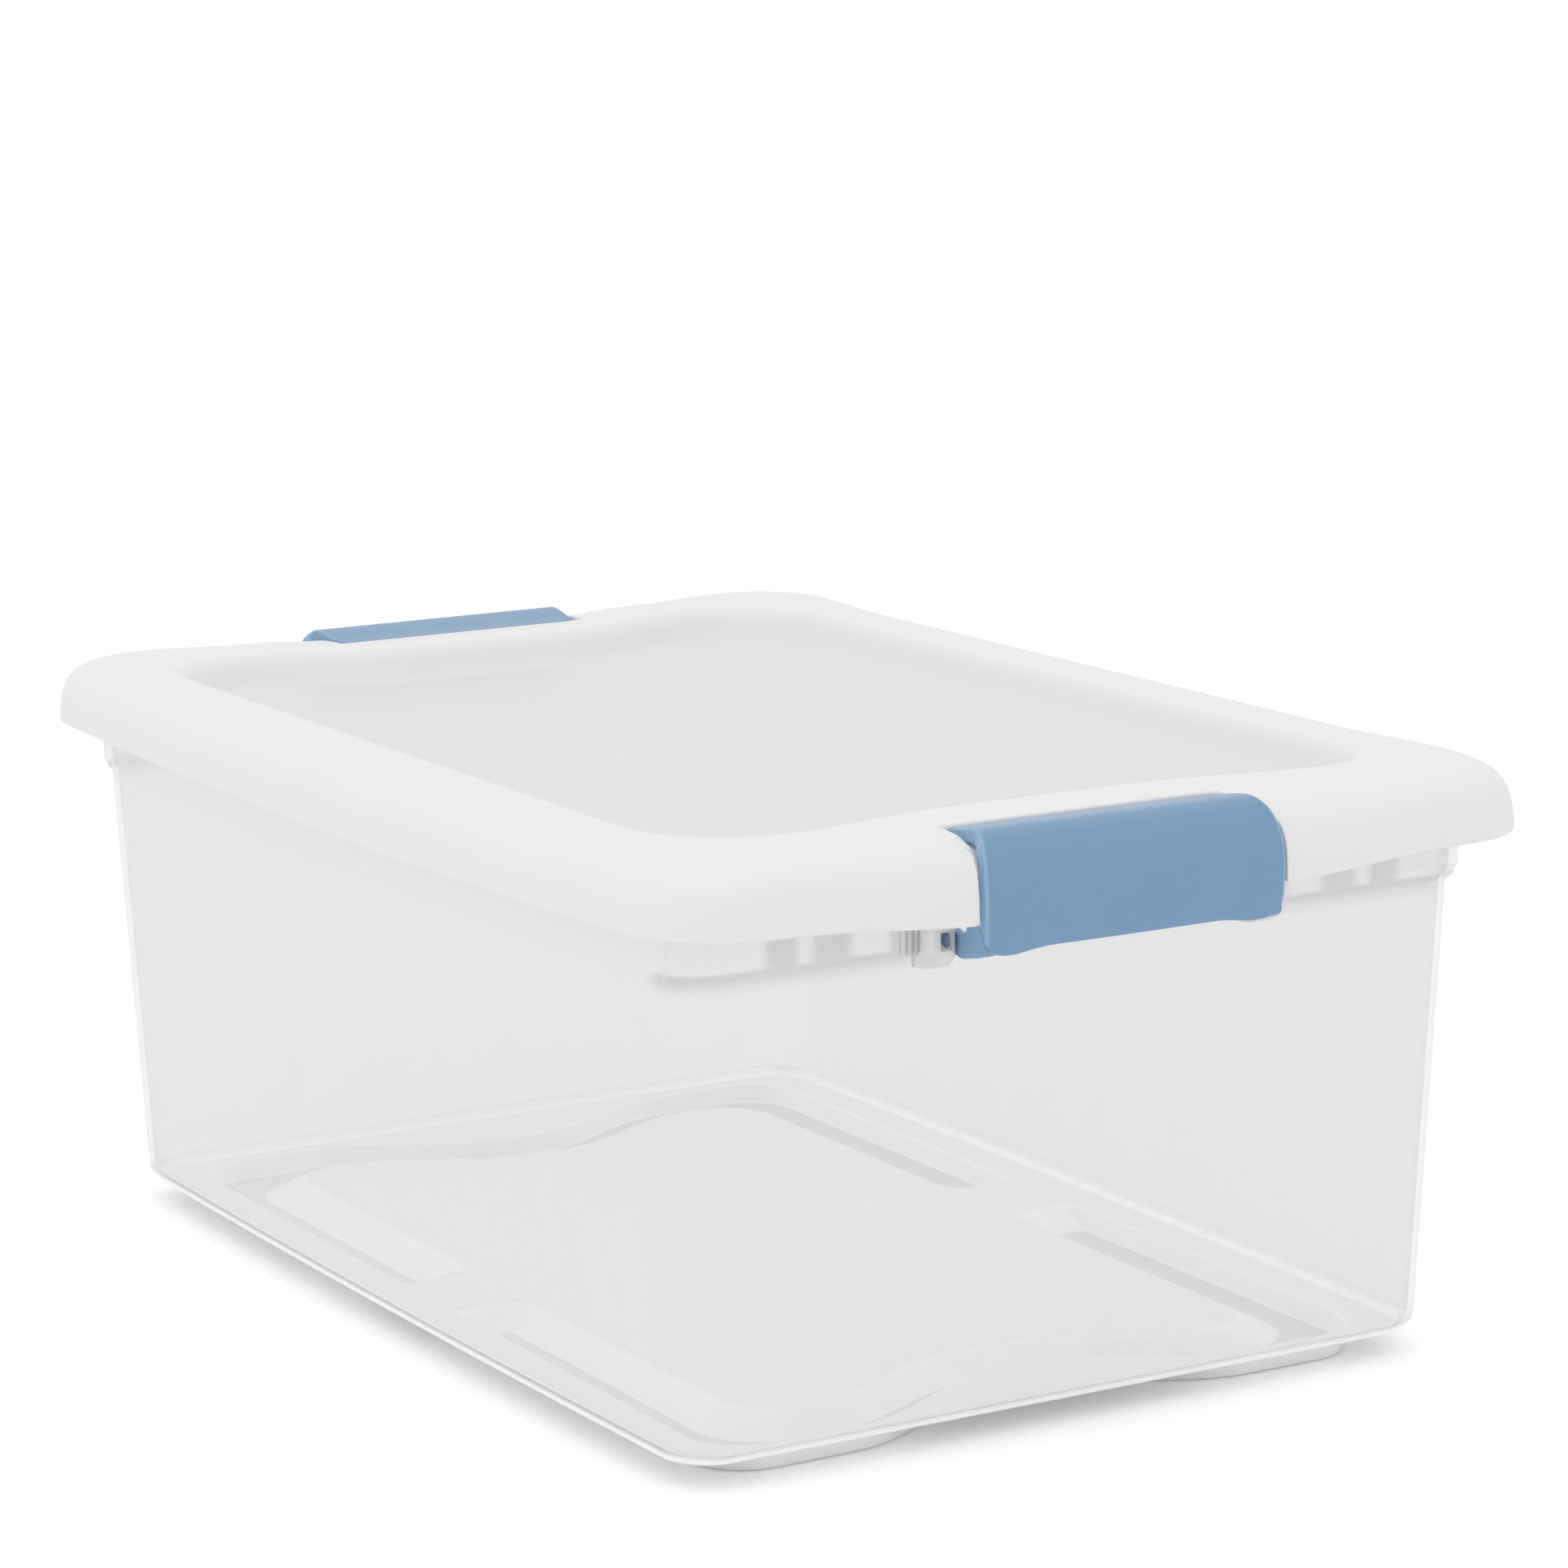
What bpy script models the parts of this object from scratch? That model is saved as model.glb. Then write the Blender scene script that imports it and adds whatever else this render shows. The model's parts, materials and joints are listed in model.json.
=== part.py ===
"""Latching storage box: clear tub, opaque lid and two end latches.

Frame: metres, +X along the length, +Y across, +Z up, origin at the centre of the
footprint on the floor. The front latch is at the +X end, the rear one at the -X end.
All dimensions below are in millimetres.
"""

import math

import bmesh
import bpy
import numpy as np

MM = 0.001

# ---- dimensions shared by the pieces ----
# A bay is the set-back stretch in the middle of each short side, behind the latch.
BAY_OUT, BAY_IN = 49.1, 51.3  # its half width on outer and on inner surfaces
WALL_T = 1.8
PIVOT_X, PIVOT_Z = 197.6, 146.0  # axis of a latch, parallel to Y
FRONT, REAR = 1, -1  # signs of X


# ---- objects and materials ----
def clear():
    for obj in list(bpy.data.objects):
        bpy.data.objects.remove(obj, do_unlink=True)
    for mesh in list(bpy.data.meshes):
        bpy.data.meshes.remove(mesh)


def material(name, colour, roughness, alpha=1.0):
    mat = bpy.data.materials.new(name)
    mat.use_nodes = True
    shader = mat.node_tree.nodes["Principled BSDF"]
    shader.inputs["Base Color"].default_value = (*colour, 1.0)
    shader.inputs["Roughness"].default_value = roughness
    shader.inputs["Metallic"].default_value = 0.0
    shader.inputs["Alpha"].default_value = alpha
    return mat


def clear_plastic():
    return material("clear_polypropylene", colour=(0.90, 0.92, 0.93), roughness=0.22, alpha=0.30)


def white_plastic():
    return material("white_polypropylene", colour=(0.86, 0.86, 0.85), roughness=0.42)


def blue_plastic(name):
    return material(name, colour=(0.20, 0.36, 0.55), roughness=0.34)


def face_outward(mesh):
    bm = bmesh.new()
    bm.from_mesh(mesh)
    bmesh.ops.recalc_face_normals(bm, faces=bm.faces)
    if bm.calc_volume(signed=True) < 0:
        bmesh.ops.reverse_faces(bm, faces=bm.faces)
    bm.to_mesh(mesh)
    bm.free()


def new_object(name, part, mat=None, origin=(0.0, 0.0, 0.0), smooth=False):
    """An object from a part: a pair of vertices, in mm, and faces."""
    verts, faces = part
    mesh = bpy.data.meshes.new(name)
    origin = np.array(origin)
    mesh.from_pydata(((np.array(verts) - origin) * MM).tolist(), [], faces)
    mesh.validate()
    if smooth:
        mesh.polygons.foreach_set("use_smooth", [True] * len(mesh.polygons))
    if mat is not None:
        mesh.materials.append(mat)
    face_outward(mesh)
    obj = bpy.data.objects.new(name, mesh)
    obj.location = tuple(origin * MM)
    bpy.context.scene.collection.objects.link(obj)
    return obj


def combine(obj, operation, name, part):
    """Add a Boolean modifier to obj, with the part as a hidden helper object."""
    helper = new_object(name, part)
    helper.hide_render = True
    helper.display_type = "WIRE"
    modifier = obj.modifiers.new(operation.title(), "BOOLEAN")
    modifier.operation = operation
    modifier.solver = "EXACT"
    modifier.object = helper


# ---- parts ----
def prism(section, y0, y1):
    """A polygon in (x, z), anticlockwise seen from -Y, drawn out along Y."""
    n = len(section)
    verts = [(x, y0, z) for x, z in section] + [(x, y1, z) for x, z in section]
    faces = [tuple(range(n)), tuple(range(2 * n - 1, n - 1, -1))]
    faces += [(i, i + n, (i + 1) % n + n, (i + 1) % n) for i in range(n)]
    return verts, faces


def prism_pair(section, y0, y1):
    """The prism on the +Y side and its twin on the -Y side."""
    return [prism(section, y0, y1), prism(section, -y1, -y0)]


def circle(centre_x, centre_z, radius, count, turn=0.0):
    """A polygon on a circle, turned by a share of one step."""
    angles = [2 * math.pi * (k + turn) / count for k in range(count)]
    return [(centre_x + radius * math.cos(t), centre_z + radius * math.sin(t)) for t in angles]


def merge(parts):
    verts, faces = [], []
    for part_verts, part_faces in parts:
        start = len(verts)
        verts += part_verts
        faces += [tuple(i + start for i in face) for face in part_faces]
    return verts, faces


def at_end(part, end):
    """A part drawn at the +X end, mirrored to the -X end when end is REAR."""
    if end == FRONT:
        return part
    verts, faces = part
    return [(-x, y, z) for x, y, z in verts], [tuple(reversed(face)) for face in faces]


def skin_faces(ring_count, n):
    """Quads between successive closed rings of n points each."""
    faces = []
    for k in range(ring_count - 1):
        this, following = k * n, (k + 1) * n
        for i in range(n):
            j = (i + 1) % n
            faces.append((this + i, this + j, following + j, following + i))
    return faces


# ---- rings: rounded rectangles that all share one closed loop of stations ----
CORNER_N = 5  # segments in a corner
X_STATIONS = (0.0, 20.0, 32.0, 85.0, 130.0)
Y_STATIONS = (0.0, 30.0, 44.9, 45.5, 48.8, 49.4, 51.0, 51.6, 72.0, 92.0)
# stations up to the first value stay put; the rest scale so that the second reaches the corner
X_KEEP, X_REACH = 40.0, 166.0
Y_KEEP, Y_REACH = 56.0, 105.0
PUSH_ANGLE = 55.0  # a collar follows a corner up to this angle from the X axis
# a corner lift grows from 0 at the start, over the run, in both x and y
LIFT_X, LIFT_X_RUN = 128.0, 45.0
LIFT_Y, LIFT_Y_RUN = 70.0, 40.0


def make_stations():
    """(kind, value, sign of x, sign of y), anticlockwise from the -Y end of the +X side.

    The value is y on a short "end", x on a long "side", and the angle from the X axis
    in a "corner".
    """

    def corner(sign_x, sign_y):
        angles = [90.0 * k / CORNER_N for k in range(CORNER_N + 1)]
        if sign_x != sign_y:
            angles.reverse()
        return [("corner", angle, sign_x, sign_y) for angle in angles]

    ys = sorted({sign * y for y in Y_STATIONS for sign in (-1, 1)})
    xs = sorted({sign * x for x in X_STATIONS for sign in (-1, 1)})
    return (
        [("end", y, 1, 0) for y in ys]
        + corner(1, 1)
        + [("side", x, 0, 1) for x in reversed(xs)]
        + corner(-1, 1)
        + [("end", y, -1, 0) for y in reversed(ys)]
        + corner(-1, -1)
        + [("side", x, 0, -1) for x in xs]
        + corner(1, -1)
    )


STATIONS = make_stations()


def spread(value, keep, reach, room):
    """A station kept where it is near the middle, and spread to fit the room near the ends."""
    if abs(value) <= keep:
        return value
    return math.copysign(keep + (abs(value) - keep) * (room - keep) / (reach - keep), value)


def waist(y, flat, end):
    """1 in the middle of a short side, falling smoothly to 0 at its ends."""
    if abs(y) <= flat:
        return 1.0
    if abs(y) >= end:
        return 0.0
    return 0.5 + 0.5 * math.cos(math.pi * (abs(y) - flat) / (end - flat))


def ring(half_l, half_w, radius, z, mid=None, flat=30.0, end=108.0, bow=0.0,
         push=0.0, gate=0.0, bay=0.0, bay_half=0.0, lift=0.0):
    """Points of a rounded rectangle.

    z is a number or a function of (kind, x, y). mid is x at the middle of a short side,
    blended to half_l between flat and end. bow swells the long sides. push moves the
    short sides out as a collar beyond gate from the middle. bay sets them back within
    bay_half of the middle. lift raises the corners.
    """
    mid = half_l if mid is None else mid
    straight_l, straight_w = half_l - radius, half_w - radius
    points = []
    for kind, value, sign_x, sign_y in STATIONS:
        if kind == "end":
            y = spread(value, Y_KEEP, Y_REACH, straight_w)
            x = half_l + (mid - half_l) * waist(y, flat, min(end, straight_w))
            if abs(y) >= gate:
                x += push
            if abs(y) <= bay_half:
                x -= bay
            x *= sign_x
        elif kind == "side":
            x = spread(value, X_KEEP, X_REACH, straight_l)
            y = sign_y * (half_w + bow * (1 - (x / straight_l) ** 2))
        else:
            cos, sin = math.cos(math.radians(value)), math.sin(math.radians(value))
            x = sign_x * (straight_l + radius * cos)
            y = sign_y * (straight_w + radius * sin)
            if value <= PUSH_ANGLE:
                x += sign_x * push * cos
                y += sign_y * push * sin
        near = min((abs(x) - LIFT_X) / LIFT_X_RUN, (abs(y) - LIFT_Y) / LIFT_Y_RUN)
        near = min(1.0, max(0.0, near))
        height = z(kind, x, y) if callable(z) else z
        points.append((x, y, height + lift * near * near * (3 - 2 * near)))
    return points


def loft(rings, z_first, z_last):
    """A closed skin: the first and last rings are capped by fans from their centres."""
    n = len(STATIONS)
    verts = [point for points in rings for point in points]
    faces = skin_faces(len(rings), n)
    first, last = len(verts), len(verts) + 1
    verts += [(0.0, 0.0, z_first), (0.0, 0.0, z_last)]
    last_ring = (len(rings) - 1) * n
    for i in range(n):
        j = (i + 1) % n
        faces.append((first, j, i))
        faces.append((last, last_ring + i, last_ring + j))
    return verts, faces


# ---- tub ----
BASE_Z = 6.0
BASE_HALF_L, BASE_HALF_W, BASE_R = 184.2, 124.5, 16.0
TAPER_L, TAPER_W, TAPER_R = 0.0475, 0.0458, 0.015  # growth per mm of height
WALL_BOW = 1.9
WALL_LOW_Z, WALL_MID_Z, WALL_INNER_LOW_Z = 10.5, 72.0, 12.0
FLOOR_Z = BASE_Z + WALL_T  # upper face of the floor, outside the foot
UNDERSIDE_Z = 6.2  # within the foot, and across its gaps
FLOOR_MID_Z = 7.9  # upper face within the foot
GAP_IN, GAP_OUT = 20.0, 32.0  # where a long-side foot ends
FOOT_WAIST = dict(flat=4.0, end=64.0)  # how the short sides of the foot pull in
COLLAR_Z0, COLLAR_Z1, COLLAR_OUT = 139.6, 142.3, 3.0
COLLAR_INNER_RISE = 0.7  # the collar's inner surface lies this much higher
FLANGE_Z, FLANGE_T = 167.2, 2.0
FLANGE_HALF_L, FLANGE_HALF_W, FLANGE_R, FLANGE_MID = 205.0, 137.0, 22.0, 202.5

FITTING_SINK = 1.2  # how far the end fittings are sunk in the collar
FITTING_TOP_Z = 165.9
RIB_W = 1.1
RIB_YS = (58.4, 61.8)
PADS = ((65.0, 11.0), (87.5, 5.5), (103.0, 6.5))  # nearer face y, width
BRACKET_Y0, BRACKET_Y1, BRACKET_X = 49.1, 56.2, 201.0
SOCKET_R, SOCKET_N, SOCKET_Y1 = 2.24, 24, 52.4
SOCKET_OVERRUN = 2.0  # the cutter starts this far outside the bracket
MOUTH_X0, MOUTH_X1 = PIVOT_X + 0.4, 209.0
MOUTH_Y0, MOUTH_Y1 = 50.1, 53.8
MOUTH_Z0, MOUTH_Z1 = 143.8, 149.1


def wall_half_l(z):
    return BASE_HALF_L + (z - BASE_Z) * TAPER_L


def wall_ring(z, inset=0.0, gate=None):
    """A ring of the tapered wall, pushed out as the collar where a gate is given."""
    rise = z - BASE_Z
    push = {} if gate is None else dict(push=COLLAR_OUT, gate=gate)
    return ring(
        wall_half_l(z) - inset,
        BASE_HALF_W + rise * TAPER_W - inset,
        BASE_R + rise * TAPER_R - inset,
        z, bow=WALL_BOW, **push,
    )


def foot_z(high, low):
    """Height of a foot ring: low everywhere but across the middle of the long sides."""

    def z(kind, x, y):
        if kind != "side":
            return low
        share = min(1.0, max(0.0, (abs(x) - GAP_IN) / (GAP_OUT - GAP_IN)))
        return high + (low - high) * share

    return z


def flange_ring(z):
    return ring(FLANGE_HALF_L, FLANGE_HALF_W, FLANGE_R, z, mid=FLANGE_MID)


def tub_rings():
    """Rings from the underside out, up the wall, over the flange and back inside.

    The columns are half length, half width, corner radius and z.
    """
    outer_foot = foot_z(UNDERSIDE_Z, 0.0)
    inner_foot = foot_z(FLOOR_Z, WALL_T)
    flange_under_z = FLANGE_Z - FLANGE_T
    outside = [
        ring(153.0, 86.5, 18.0, UNDERSIDE_Z, mid=132.0, **FOOT_WAIST),
        ring(161.0, 97.0, 20.0, outer_foot, mid=141.5, **FOOT_WAIST),
        ring(174.0, 108.5, 18.0, outer_foot, mid=152.0, **FOOT_WAIST),
        ring(175.8, 110.3, 19.0, BASE_Z, mid=153.8, **FOOT_WAIST),
        ring(179.7, 120.0, 12.0, BASE_Z, bow=WALL_BOW),
        ring(182.9, 123.2, 14.8, 7.3, bow=WALL_BOW),
        wall_ring(WALL_LOW_Z),
        wall_ring(WALL_MID_Z),
        wall_ring(COLLAR_Z0),
        wall_ring(COLLAR_Z1, gate=BAY_OUT),
        wall_ring(flange_under_z, gate=BAY_OUT),
        flange_ring(flange_under_z),
    ]
    inside = [
        flange_ring(FLANGE_Z),
        wall_ring(FLANGE_Z, WALL_T, gate=BAY_IN),
        wall_ring(COLLAR_Z1 + COLLAR_INNER_RISE, WALL_T, gate=BAY_IN),
        wall_ring(COLLAR_Z0 + COLLAR_INNER_RISE, WALL_T),
        wall_ring(WALL_MID_Z, WALL_T),
        wall_ring(WALL_INNER_LOW_Z, WALL_T),
        ring(181.4, 121.7, 13.4, 9.0, bow=WALL_BOW),
        ring(178.9, 119.2, 11.0, FLOOR_Z, bow=WALL_BOW),
        ring(174.2, 108.7, 18.0, FLOOR_Z, mid=152.2, **FOOT_WAIST),
        ring(172.4, 106.9, 17.0, inner_foot, mid=150.4, **FOOT_WAIST),
        ring(160.3, 96.3, 20.0, inner_foot, mid=140.8, **FOOT_WAIST),
        ring(151.6, 85.0, 18.0, FLOOR_MID_Z, mid=130.6, **FOOT_WAIST),
    ]
    return outside + inside


def end_fittings():
    """Ribs, pads and latch brackets of the +X end, standing on the collar."""
    root_x = wall_half_l(COLLAR_Z1) + COLLAR_OUT - FITTING_SINK
    top_z = FITTING_TOP_Z
    rib = [(root_x, 143.2), (root_x + 4.6, 145.0), (root_x + 5.6, top_z), (root_x, top_z)]
    pad = [(root_x, 144.3), (195.2, 145.1), (196.2, top_z), (root_x, top_z)]
    bracket = [
        (root_x, 137.8), (197.5, 138.6), (BRACKET_X, 141.6),
        (BRACKET_X, 149.9), (BRACKET_X - 1.0, 150.7), (root_x, 150.7),
    ]
    parts = []
    for y in RIB_YS:
        parts += prism_pair(rib, y, y + RIB_W)
    for y, width in PADS:
        parts += prism_pair(pad, y, y + width)
    parts += prism_pair(bracket, BRACKET_Y0, BRACKET_Y1)
    return merge(parts)


def end_sockets():
    """The blind bore in each bracket of the +X end."""
    bore = circle(PIVOT_X, PIVOT_Z, SOCKET_R, SOCKET_N, turn=0.5)
    return merge(prism_pair(bore, BRACKET_Y0 - SOCKET_OVERRUN, SOCKET_Y1))


def end_mouths():
    """The opening from each bore through the +X face of its bracket."""
    mouth = [(MOUTH_X0, MOUTH_Z0), (MOUTH_X1, MOUTH_Z0), (MOUTH_X1, MOUTH_Z1), (MOUTH_X0, MOUTH_Z1)]
    return merge(prism_pair(mouth, MOUTH_Y0, MOUTH_Y1))


def build_tub():
    skin = loft(tub_rings(), UNDERSIDE_Z, FLOOR_MID_Z)
    tub = new_object("tub", skin, clear_plastic(), smooth=True)
    ends = (("front", FRONT), ("rear", REAR))
    for name, end in ends:
        combine(tub, "UNION", "add_" + name, at_end(end_fittings(), end))
    for name, end in ends:
        combine(tub, "DIFFERENCE", "bore_" + name, at_end(end_sockets(), end))
        combine(tub, "DIFFERENCE", "mouth_" + name, at_end(end_mouths(), end))


# ---- lid ----
LID_HALF_L, LID_HALF_W, LID_R = 215.0, 142.1, 30.5
LID_WAIST = 1.4  # the short sides pull in by this towards the middle
LID_MID = LID_HALF_L - LID_WAIST
BAY_DEPTH = 2.5
NOTCH_HALF = 45.2  # half width of the rim notch where the latch lip lies
LID_CREST_Z, LID_PANEL_Z, LID_T = 175.9, 165.0, 2.2
SKIRT_CORNER_Z, SKIRT_LONG_DROP, SKIRT_SHORT_DROP = 156.7, 3.0, 4.3
SKIRT_LONG_REACH = 180.0  # |x| where the drop of a long side ends
SKIRT_SHORT_FLAT, SKIRT_SHORT_END = 52.0, 108.0  # |y| where that of a short side eases off, ends


def skirt_z(kind, x, y):
    """The lower edge of the skirt dips along each side."""
    if kind == "side":
        return SKIRT_CORNER_Z - SKIRT_LONG_DROP * max(0.0, 1 - (x / SKIRT_LONG_REACH) ** 2)
    if kind == "end":
        return SKIRT_CORNER_Z - SKIRT_SHORT_DROP * waist(y, SKIRT_SHORT_FLAT, SKIRT_SHORT_END)
    return SKIRT_CORNER_Z


def pocket(high, low, half):
    """The rim drops to `low` across each latch, within `half` of the middle."""

    def z(kind, x, y):
        return low if kind == "end" and abs(y) <= half else high

    return z


def skirt_ring(inset, radius, z, bay_half, lift=0.0):
    return ring(LID_HALF_L - inset, LID_HALF_W - inset, radius, z,
                mid=LID_MID - inset, bay=BAY_DEPTH, bay_half=bay_half, lift=lift)


def lid_rings():
    """Rings from the panel out over the rim to the skirt's edge, and back underneath.

    The columns of ring are half length, half width, corner radius and z; those of
    skirt_ring are inset, corner radius, z and half width of the bay.
    """
    notch, out, inn = NOTCH_HALF, BAY_OUT, BAY_IN
    crest = LID_CREST_Z
    top = [
        ring(167.0, 103.0, 20.0, LID_PANEL_Z, mid=154.0),
        ring(170.5, 107.0, 23.0, 166.3, mid=157.5),
        ring(174.0, 112.0, 26.0, 170.6, mid=161.5, lift=0.2),
        ring(176.8, 116.2, 28.0, 174.4, mid=165.0, lift=0.5),
        ring(179.5, 119.5, 29.0, crest, mid=168.5, lift=0.6),
        ring(187.0, 126.3, 24.0, crest, mid=184.8, lift=0.6),
        ring(188.0, 127.3, 23.5, pocket(crest - 0.05, 171.2, notch), mid=185.7, lift=0.6),
        ring(194.0, 129.6, 24.0, pocket(175.5, 171.3, notch), mid=192.6,
             bay=0.6, bay_half=notch, lift=0.8),
        ring(200.0, 131.8, 25.0, pocket(174.8, 171.2, notch), mid=198.7,
             bay=1.2, bay_half=notch, lift=1.2),
        ring(206.3, 135.0, 26.5, pocket(173.2, 170.9, out), mid=205.0,
             bay=2.0, bay_half=out, lift=1.5),
        skirt_ring(3.4, 28.5, pocket(170.3, 169.5, out), out, lift=1.7),
        skirt_ring(0.9, 30.0, 166.0, out, lift=1.0),
        skirt_ring(0.0, LID_R, 160.8, out),
        skirt_ring(-0.2, LID_R + 0.2, skirt_z, out),
    ]
    under = [
        skirt_ring(1.8, LID_R - 1.8, skirt_z, inn),
        skirt_ring(2.2, LID_R - 2.2, 160.6, inn),
        skirt_ring(3.0, 28.0, 165.3, inn, lift=0.8),
        ring(LID_HALF_L - 5.1, LID_HALF_W - 4.9, 27.0, 168.4, mid=LID_MID - 5.1,
             bay=BAY_DEPTH, bay_half=inn, lift=1.1),
        ring(206.6, 136.1, 26.0, 170.0, mid=205.3, bay=2.2, bay_half=inn, lift=1.1),
        ring(206.2, 135.9, 26.0, 167.5, mid=204.7, bay=2.0, bay_half=inn),
        ring(204.2, 133.9, 25.0, 167.5, mid=202.7, bay=2.0, bay_half=inn),
        ring(203.8, 133.7, 25.0, pocket(171.3, 169.4, inn), mid=202.3,
             bay=2.0, bay_half=inn, lift=1.0),
        ring(199.6, 131.3, 24.6, pocket(172.6, 169.5, inn), mid=198.4,
             bay=1.2, bay_half=inn, lift=0.9),
        ring(193.8, 129.3, 24.0, pocket(173.3, 169.4, inn), mid=192.4,
             bay=0.6, bay_half=inn, lift=0.7),
        ring(186.0, 125.0, 24.0, pocket(173.7, 169.2, inn), mid=183.6, lift=0.5),
        ring(185.0, 124.0, 24.5, 173.7, mid=182.6, lift=0.5),
        ring(180.0, 119.9, 29.0, 173.7, mid=169.0, lift=0.5),
        ring(178.4, 117.8, 28.0, 172.6, mid=166.6, lift=0.4),
        ring(175.5, 113.5, 26.5, 168.8, mid=163.0, lift=0.1),
        ring(171.6, 108.1, 23.4, 164.1, mid=158.6),
        ring(167.6, 103.6, 20.2, LID_PANEL_Z - LID_T, mid=154.6),
    ]
    return top + under


def build_lid():
    skin = loft(lid_rings(), LID_PANEL_Z, LID_PANEL_Z - LID_T)
    new_object("lid", skin, white_plastic(), smooth=True)


# ---- latch, drawn at the +X end: a shell swept along Y with rounded top corners ----
# (x, z) of the outer and inner surfaces, from the bottom of the face to the tip of the lip
SHELL_OUT = (
    (213.8, 144.5), (214.8, 148.6), (215.3, 154.0), (215.3, 159.5), (214.6, 165.0),
    (212.9, 169.8), (209.9, 173.8), (206.4, 175.8), (202.4, 176.3), (197.0, 175.6),
    (191.5, 174.6), (186.1, 173.9),
)
SHELL_IN = (
    (211.5, 144.7), (212.3, 149.0), (212.7, 154.0), (212.7, 159.3), (212.2, 164.0),
    (210.8, 168.4), (208.3, 171.9), (205.6, 173.6), (202.2, 173.9), (197.0, 173.5),
    (191.5, 173.0), (186.1, 172.75),
)
# half width, cut, dip of the bottom edge. The cut is where the outline ends the section:
# None for the whole section, an x on the lip from LIP_CUT_MIN up, or else a z on the face
LATCH_ROWS = (
    (0.0, None, 0.0), (20.0, None, 0.0), (30.0, None, 0.1), (36.0, None, 1.2),
    (42.0, None, 1.3), (43.6, 189.6, 0.8), (44.6, 197.0, 0.5), (45.2, 204.5, 0.2),
    (46.2, 174.0, -0.7), (47.2, 170.8, -2.0), (48.0, 166.5, -3.6), (48.5, 162.0, -5.0),
)
LIP_CUT_MIN = 180.0
LIP_MIN_Z = 174.0  # a cut on the lip is looked for above this
SECTION_N = 12  # steps along each surface of a section
CUT_N = 400  # steps in the search for a cut
CROWD = 0.05  # share of the path that takes the samples past a cut
DIP_TOP_Z, DIP_HEIGHT = 154.0, 9.5  # the dip fades out up to this z, over this height
LEAN_Y, LEAN_RUN, LEAN_X = 44.5, 4.0, 1.2  # the face rounds off beyond this y

# (x, z) of the side arms and of the ribs behind the face
CHEEK = (
    (194.9, 144.4), (196.0, 143.2), (198.4, 142.3), (202.5, 141.5), (211.5, 143.4),
    (213.0, 144.6), (213.4, 151.6), (205.8, 151.6), (205.0, 149.3), (200.2, 148.3),
    (197.6, 148.8), (195.5, 148.0), (194.7, 146.2),
)
CHEEK_Y0, CHEEK_Y1 = 45.9, 48.4
LATCH_RIB = ((206.5, 146.8), (212.9, 145.6), (213.4, 151.4), (208.0, 151.4))
LATCH_RIB_YS, LATCH_RIB_HALF_W = (-27.0, -9.0, 9.0, 27.0), 0.8
PIN_R, PIN_N, PIN_Y0, PIN_Y1 = 1.9, 20, 46.8, 51.0


def along(path, share):
    """The point of a polyline at a share of its length."""
    lengths = [math.dist(path[k], path[k + 1]) for k in range(len(path) - 1)]
    left = share * sum(lengths)
    for k, length in enumerate(lengths):
        if left <= length or k == len(lengths) - 1:
            part = min(1.0, left / length)
            return tuple(p + (q - p) * part for p, q in zip(path[k], path[k + 1]))
        left -= length


def cut_share(cut):
    """The share of the outer path at which the outline cuts it off."""
    if cut is None:
        return 1.0
    for k in range(CUT_N + 1):
        x, z = along(SHELL_OUT, k / CUT_N)
        if z >= cut if cut < LIP_CUT_MIN else (z > LIP_MIN_Z and x <= cut):
            return k / CUT_N
    return 1.0


def section_shares(cut):
    """Even shares of the path, with those past the cut crowded just short of it."""
    even = [k / SECTION_N for k in range(SECTION_N + 1)]
    share = cut_share(cut)
    if share >= 1.0:
        return even
    kept = [value for value in even if value < share - CROWD]
    rest = len(even) - len(kept)
    return kept + [share - CROWD + CROWD * (k + 1) / rest for k in range(rest)]


def shell_section(half_width, cut, dip):
    """Outer then inner (x, z) points of the section at a half width."""
    lean = LEAN_X * max(0.0, (half_width - LEAN_Y) / LEAN_RUN) ** 2
    shares = section_shares(cut)

    def surface(path, shift):
        points = []
        for share in shares:
            x, z = along(path, share)
            if z < DIP_TOP_Z:
                z -= dip * min(1.0, (DIP_TOP_Z - z) / DIP_HEIGHT)
            points.append((x - shift, z))
        return points

    return surface(SHELL_OUT, lean) + surface(SHELL_IN, 0.0)[::-1]


def latch_shell():
    rows = [(-y, cut, dip) for y, cut, dip in reversed(LATCH_ROWS[1:])] + list(LATCH_ROWS)
    verts = []
    for y, cut, dip in rows:
        verts += [(x, y, z) for x, z in shell_section(abs(y), cut, dip)]
    n = 2 * (SECTION_N + 1)
    last = (len(rows) - 1) * n
    faces = skin_faces(len(rows), n)
    faces.append(tuple(reversed(range(n))))
    faces.append(tuple(last + i for i in range(n)))
    return verts, faces


def latch_arms():
    parts = prism_pair(CHEEK, CHEEK_Y0, CHEEK_Y1)
    for y in LATCH_RIB_YS:
        parts.append(prism(LATCH_RIB, y - LATCH_RIB_HALF_W, y + LATCH_RIB_HALF_W))
    return merge(parts)


def latch_pins():
    return merge(prism_pair(circle(PIVOT_X, PIVOT_Z, PIN_R, PIN_N), PIN_Y0, PIN_Y1))


def build_latch(name, end):
    """A latch with its origin on its pivot axis."""
    pivot = (end * PIVOT_X, 0.0, PIVOT_Z)
    shell = at_end(latch_shell(), end)
    latch = new_object(name, shell, blue_plastic("blue_" + name), origin=pivot, smooth=True)
    combine(latch, "UNION", name + "_arms", at_end(latch_arms(), end))
    combine(latch, "UNION", name + "_pins", at_end(latch_pins(), end))


clear()
build_tub()
build_lid()
build_latch("latch_front", FRONT)
build_latch("latch_rear", REAR)
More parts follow.
